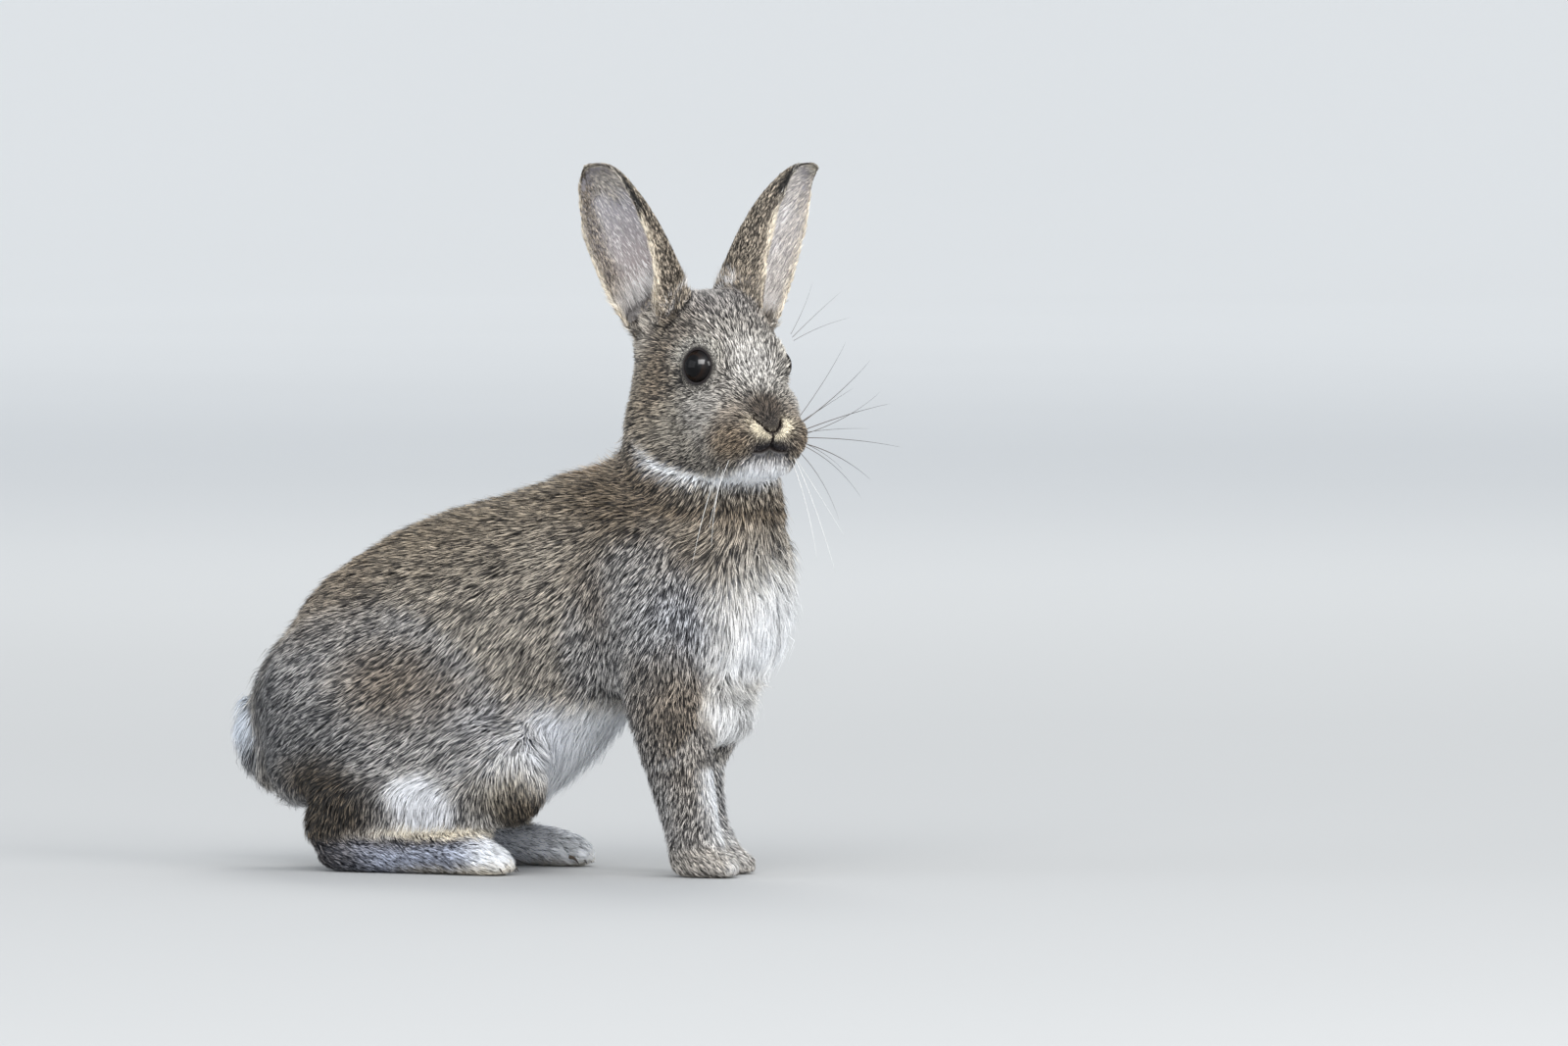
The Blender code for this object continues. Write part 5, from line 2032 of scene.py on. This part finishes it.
@dataclass
class Eye:
    """A glossy eyeball with a raised clear front and a painted highlight of stronger clear coat."""

    side: Side
    centre: Array
    radius: float
    axis: Array  # the way it looks, in the body's axes
    shy: float = 0.12  # how much smaller it is than the radius that the lids close round
    bulge: float = 0.25
    bulge_reach: float = 0.72  # in radians from the axis
    glint_way: tuple = (0.372, -0.869, 0.324)  # painted highlight: the way the front faces where the key light's reflection falls, where the clear coat is made strongest
    wet_reach: float = 15.0  # in degrees from there
    rings: int = 48
    spokes: int = 72

    def build(self) -> Object:
        """Makes the eyeball.

        Returns:
            The eyeball.
        """
        angles = np.linspace(0, math.pi, self.rings + 1)[1:-1]
        turns = np.linspace(0, 2 * math.pi, self.spokes, endpoint=False)
        grid_a, grid_t = (g.ravel() for g in np.meshgrid(angles, turns, indexing="ij"))
        angle = np.concatenate([[0.0], grid_a, [math.pi]])
        turn = np.concatenate([[0.0], grid_t, [0.0]])
        one = unit(np.cross([0, 0, 1.0], self.axis))
        two = np.cross(self.axis, one)
        far = self.radius - self.shy + self.bulge * np.exp(-((angle / self.bulge_reach) ** 4))
        way = (np.cos(angle)[:, None] * self.axis + np.sin(angle)[:, None]
               * (np.cos(turn)[:, None] * one + np.sin(turn)[:, None] * two))
        verts = self.centre + way * far[:, None]
        count, last = len(angles), len(verts) - 1
        front, front_next = ring_pair(self.spokes, 1)
        rear, rear_next = ring_pair(self.spokes, last - self.spokes)
        caps = np.vstack([np.column_stack([np.zeros(self.spokes, int), front, front_next]),
                          np.column_stack([rear, np.full(self.spokes, last), rear_next])])
        mesh = make_mesh("eyeball_" + self.side.word, verts, [bands(count, self.spokes, 1), caps])
        # painted highlight: the clear coat is made strongest round where the key light's reflection falls
        apart = np.degrees(np.arccos(np.clip(way @ unit(np.array(self.glint_way)), -1, 1)))
        carry(mesh, "gaze", np.column_stack([angle, np.abs(np.sin(turn * 0.5)), hill(apart, self.wet_reach)]))
        obj = make_object(mesh, EyeFinish("eye_wet_" + self.side.word).material())
        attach(obj, "root")
        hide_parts("eye_" + self.side.word)
        return obj


def tube(path: Array, radii: Array, sides: int) -> tuple:
    """A thin tapered tube.

    Args:
        path: Points along it, in mm.
        radii: Its radius at each.
        sides: How many sides it has.

    Returns:
        Vertices, faces of four corners, faces of three corners, and the share of the length at each vertex.
    """
    run = unit(np.gradient(path, axis=0))
    flat = unit(np.cross(run, [0.31, 0.17, 0.93]))
    other = np.cross(run, flat)
    turns = np.linspace(0, 2 * math.pi, sides, endpoint=False)
    ring = np.cos(turns)[None, :, None] * flat[:, None] + np.sin(turns)[None, :, None] * other[:, None]
    verts = path[:-1, None] + ring[:-1] * radii[:-1, None, None]
    count = len(path) - 1
    verts = np.vstack([verts.reshape(-1, 3), path[-1:], path[:1]])
    quads = bands(count, sides, 0)[:, (0, 3, 2, 1)]
    tip, foot = count * sides, count * sides + 1
    start, start_next = ring_pair(sides, 0)
    end, end_next = ring_pair(sides, tip - sides)
    caps = np.vstack([np.column_stack([end, end_next, np.full(sides, tip)]),
                      np.column_stack([start_next, start, np.full(sides, foot)])])
    share = np.concatenate([np.repeat(np.arange(count) / count, sides), [1.0, 0.0]])
    return verts, quads, caps, share


def tubes_piece(name: str, parts: list, material: Material) -> Object:
    """Joins tubes in one piece.

    Args:
        name: The piece's name.
        parts: What tube() returned for each.
        material: Its material.

    Returns:
        The piece.
    """
    verts, quads, _ = joined((points, four) for points, four, _, _ in parts)
    caps = joined((points, three) for points, _, three, _ in parts)[1]
    mesh = make_mesh(name, verts, [quads, caps])
    carry(mesh, "along", np.concatenate([share for _, _, _, share in parts]))
    obj = make_object(mesh, material)
    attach(obj, "root")
    return obj


@dataclass(frozen=True)
class Whisker:
    """One whisker in the head's axes for its side: where it starts, where it bends, where it ends."""

    root: tuple
    bend: tuple
    end: tuple
    thick: float = 0.16


@dataclass
class Whiskers:
    """The whiskers of both sides and of the brows."""

    anatomy: Anatomy
    sides: int = 5
    left: tuple = (
        Whisker((-6, 9, 1.5), (-2, 24, 12), (-9, 38, 23)),
        Whisker((-7, 10, 3.0), (-5, 21, 17), (-12, 31, 29), 0.11),
        Whisker((-5, 10, 0.5), (-3, 28, 7), (-15, 48, 9)),
        Whisker((-4, 10, -0.5), (-2, 27, 4), (-12, 43, 13), 0.12),
        Whisker((-6, 11, -1.0), (-3, 29, -1), (-19, 54, -5), 0.14),
        Whisker((-4, 9, -2.0), (-1, 23, -5), (-8, 38, -15)),
        Whisker((-7, 11, -2.5), (-4, 24, -8), (-13, 37, -21), 0.11),
        Whisker((-8, 10, 2.0), (-8, 22, 9), (-17, 36, 14), 0.12),
        Whisker((-3, 8, -3.5), (0, 17, -12), (-5, 25, -27), 0.11),
        Whisker((-8, 10, 0.0), (-9, 25, 2), (-21, 44, 1), 0.1),
        Whisker((-9, 11, -1.5), (-9, 22, -5), (-18, 33, -12), 0.1),
    )
    left_pale: tuple = (
        Whisker((-7, 8, -5.0), (0, 12, -20), (0, 15, -40), 0.13),
        Whisker((-6, 8, -4.0), (1, 13, -18), (-1, 22, -44), 0.14),
        Whisker((-8, 9, -4.5), (-2, 15, -16), (-4, 27, -33), 0.11),
    )
    right_pale: tuple = (
        Whisker((-14, 11, -7), (-16, 17, -22), (-20, 19, -42), 0.14),
        Whisker((-13, 10, -7), (-13, 15, -20), (-14, 15, -36), 0.13),
        Whisker((-9, 10, -5), (-6, 17, -16), (-8, 19, -30), 0.11),
    )
    right_dark: tuple = (
        Whisker((-8, 11, 1.0), (-22, 23, 5), (-44, 32, 6), 0.1),
        Whisker((-7, 11, -1.0), (-19, 22, -3), (-36, 31, -9), 0.09),
        Whisker((-6, 11, 0.0), (-17, 23, 1), (-33, 35, -1), 0.09),
        Whisker((-8, 11, 2.5), (-20, 22, 9), (-37, 31, 14), 0.09),
    )
    brow: tuple = (
        Whisker((-17, 15, 29), (-16, 24, 34), (-21, 37, 36), 0.08),
        Whisker((-18, 15, 30), (-18, 24, 38), (-24, 35, 44), 0.09),
        Whisker((-19, 15, 31), (-21, 21, 39), (-28, 27, 47), 0.07),
    )

    def tube_of(self, whisker: Whisker, side: Side) -> tuple:
        """Makes one whisker.

        Args:
            whisker: Where it runs.
            side: Which side it is on.

        Returns:
            What tube() returns.
        """
        mirror = np.array([1, side.value, 1.0])
        a, b, c = (np.array(p, float) * mirror for p in (whisker.root, whisker.bend, whisker.end))
        t = np.linspace(0, 1, 18)[:, None]
        path = self.anatomy.head.out(arc(a, b, c, t))
        return tube(path, whisker.thick * (1 - 0.85 * t.ravel() ** 1.3), self.sides)

    def build(self) -> list:
        """Makes the whiskers.

        Returns:
            The dark and the pale ones.
        """
        dark = HornFinish("whisker_dark", (0.10, 0.08, 0.07, 1), (0.035, 0.030, 0.030, 1), 0.4)
        pale = HornFinish("whisker_pale", (0.75, 0.74, 0.72, 1), (0.90, 0.90, 0.88, 1), 0.4)
        dark_parts = [self.tube_of(w, Side.LEFT) for w in self.left]
        dark_parts += [self.tube_of(w, Side.RIGHT) for w in self.right_dark]
        dark_parts += [self.tube_of(w, side) for w in self.brow for side in Side]
        pale_parts = [self.tube_of(w, Side.LEFT) for w in self.left_pale]
        pale_parts += [self.tube_of(w, Side.RIGHT) for w in self.right_pale]
        return [tubes_piece("whiskers_dark", dark_parts, dark.material()),
                tubes_piece("whiskers_pale", pale_parts, pale.material())]


@dataclass
class Claws:
    """Small dark claws at the ends of the toes."""

    count: int = 4
    length: float = 3.4
    thick: float = 0.62
    fore_size: float = 0.8  # the size of a forepaw's claws next to a hind foot's

    def build(self) -> Object:
        """Makes the claws of all four feet.

        Returns:
            One piece with all of them.
        """
        parts = []
        for foot in FEET:
            low, high = solid_box(foot)
            size = 1.0 if foot.startswith("hind") else self.fore_size
            for k in range(self.count):
                share = (k + 0.5) / self.count
                y = low[1] + (high[1] - low[1]) * (0.12 + 0.76 * share)
                back = 2.9 + 9.0 * (share - 0.5) ** 2
                start = np.array([high[0] - back - 1.2, y, 3.2 * size])
                t = np.linspace(0, 1, 9)[:, None]
                end = start + np.array([self.length * size, 0, -2.4 * size])
                mid = start + np.array([self.length * size * 0.6, 0, 0.2])
                path = arc(start, mid, end, t)
                parts.append(tube(path, self.thick * size * (1 - 0.9 * t.ravel() ** 1.6), 8))
        horn = HornFinish("claw_horn", (0.16, 0.12, 0.09, 1), (0.035, 0.028, 0.024, 1), 0.3)
        return tubes_piece("claws", parts, horn.material())


# -------- studio


@dataclass
class Studio:
    """A pale floor that rises into a round backdrop, soft light, and the camera."""

    low: Vector
    high: Vector
    floor_radius: float = 12.0
    bend: float = 3.0  # how wide the round foot of the backdrop is
    rise: float = 3.5
    spokes: int = 96
    azimuth: float = 25.0
    elevation: float = 2.0
    distance: float = 5.0
    film: float = 36.0
    frame_width: float = 0.496  # how much the frame takes in at the aim, in metres
    across: float = 0.093  # the aim, to the right of and above the middle of the floor
    upward: float = 0.10958
    behind: tuple = (0.01489, 0.00175, 0.0)  # what is taken off the aim

    def floor(self) -> Object:
        """Makes the floor and backdrop as one turned surface.

        Returns:
            The studio's floor.
        """
        flat = self.floor_radius - self.bend
        rows = [(r, 0.0) for r in (0.3, 1.0, 3.0, 6.0, flat)]
        for a in np.linspace(0, math.pi / 2, 14)[1:]:
            rows.append((flat + self.bend * math.sin(a), self.rise * (1 - math.cos(a))))
        turns = np.linspace(0, 2 * math.pi, self.spokes, endpoint=False)
        verts = [(0, 0, 0)]
        for r, z in rows:
            verts += [(r * math.cos(t), r * math.sin(t), z) for t in turns]
        centre = np.column_stack([np.zeros(self.spokes, int), *ring_pair(self.spokes, 1)])
        mesh = make_mesh("studio_floor", np.array(verts) / MM, [bands(len(rows), self.spokes, 1), centre])
        obj = make_object(mesh, StudioFinish("studio_paper").material())
        obj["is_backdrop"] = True
        return obj

    def light(self, name: str, place: tuple, size: float, power: float, colour: tuple) -> None:
        """Adds one soft light that shines at the animal.

        Args:
            name: The light's name.
            place: Where it is, in metres.
            size: Its width, in metres.
            power: Its power, in watts.
            colour: Its colour.
        """
        data = bpy.data.lights.new(name, "AREA")
        data.shape = "RECTANGLE"
        data.size, data.size_y = size, size * 0.8
        data.energy = power
        data.color = colour
        obj = bpy.data.objects.new(name, data)
        bpy.context.scene.collection.objects.link(obj)
        obj.location = place
        aim = (self.low + self.high) / 2 - Vector(place)
        obj.rotation_mode = "QUATERNION"
        obj.rotation_quaternion = aim.to_track_quat("-Z", "Y")

    def world(self) -> None:
        """Sets the pale light that comes from all round."""
        world = bpy.data.worlds.new("studio_air")
        bpy.context.scene.world = world
        world.use_nodes = True
        back = world.node_tree.nodes["Background"]
        back.inputs["Color"].default_value = (0.90, 0.95, 1.0, 1)
        back.inputs["Strength"].default_value = 0.78

    def camera(self) -> None:
        """Makes the camera."""
        a, e = math.radians(self.azimuth), math.radians(self.elevation)
        back = Vector((math.sin(a) * math.cos(e), -math.cos(a) * math.cos(e), math.sin(e)))
        right = Vector((math.cos(a), math.sin(a), 0))
        up = back.cross(right)
        target = right * self.across + up * self.upward - Vector(self.behind)
        data = bpy.data.cameras.new("camera")
        data.sensor_width = self.film
        data.lens = self.film * self.distance / self.frame_width
        data.clip_end = 100
        obj = bpy.data.objects.new("camera", data)
        bpy.context.scene.collection.objects.link(obj)
        obj.location = target + back * self.distance
        obj.rotation_mode = "QUATERNION"
        obj.rotation_quaternion = (-back).to_track_quat("-Z", "Y")
        bpy.context.scene.camera = obj

    def build(self) -> None:
        """Makes the floor, the lights and the camera."""
        self.floor()
        self.world()
        self.light("key", (1.0, -2.6, 2.0), 2.3, 54, (1.0, 0.99, 0.97))
        self.light("side", (2.5, -0.7, 1.1), 1.5, 34, (1.0, 0.98, 0.95))
        self.light("fill", (-2.2, -2.0, 0.7), 2.8, 24, (0.93, 0.96, 1.0))
        self.light("rim", (-0.8, 2.2, 2.4), 1.6, 34, (1.0, 0.99, 0.95))
        self.camera()


def main() -> None:
    """Builds the whole model, piece by piece."""
    logging.basicConfig(level=logging.INFO, format="%(message)s")
    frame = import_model()
    solid_low, solid_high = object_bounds()
    bpy.context.scene.view_settings.view_transform = "Standard"
    anatomy = Anatomy(frame["nodes"])
    skin = Skin(anatomy, Pattern(anatomy))
    skin.build()
    for side in Side:
        axis = anatomy.head.turn @ skin.lids[side].axis
        obj = Eye(side, anatomy.eyes[side], anatomy.ball, axis).build()
        log.info("%s", obj.name)
    Coat(skin, 1.0).build()
    skin.piece()
    for obj in (*Whiskers(anatomy).build(), Claws().build()):
        log.info("%s", obj.name)
    Studio(solid_low, solid_high).build()


if __name__ == "__main__":
    main()
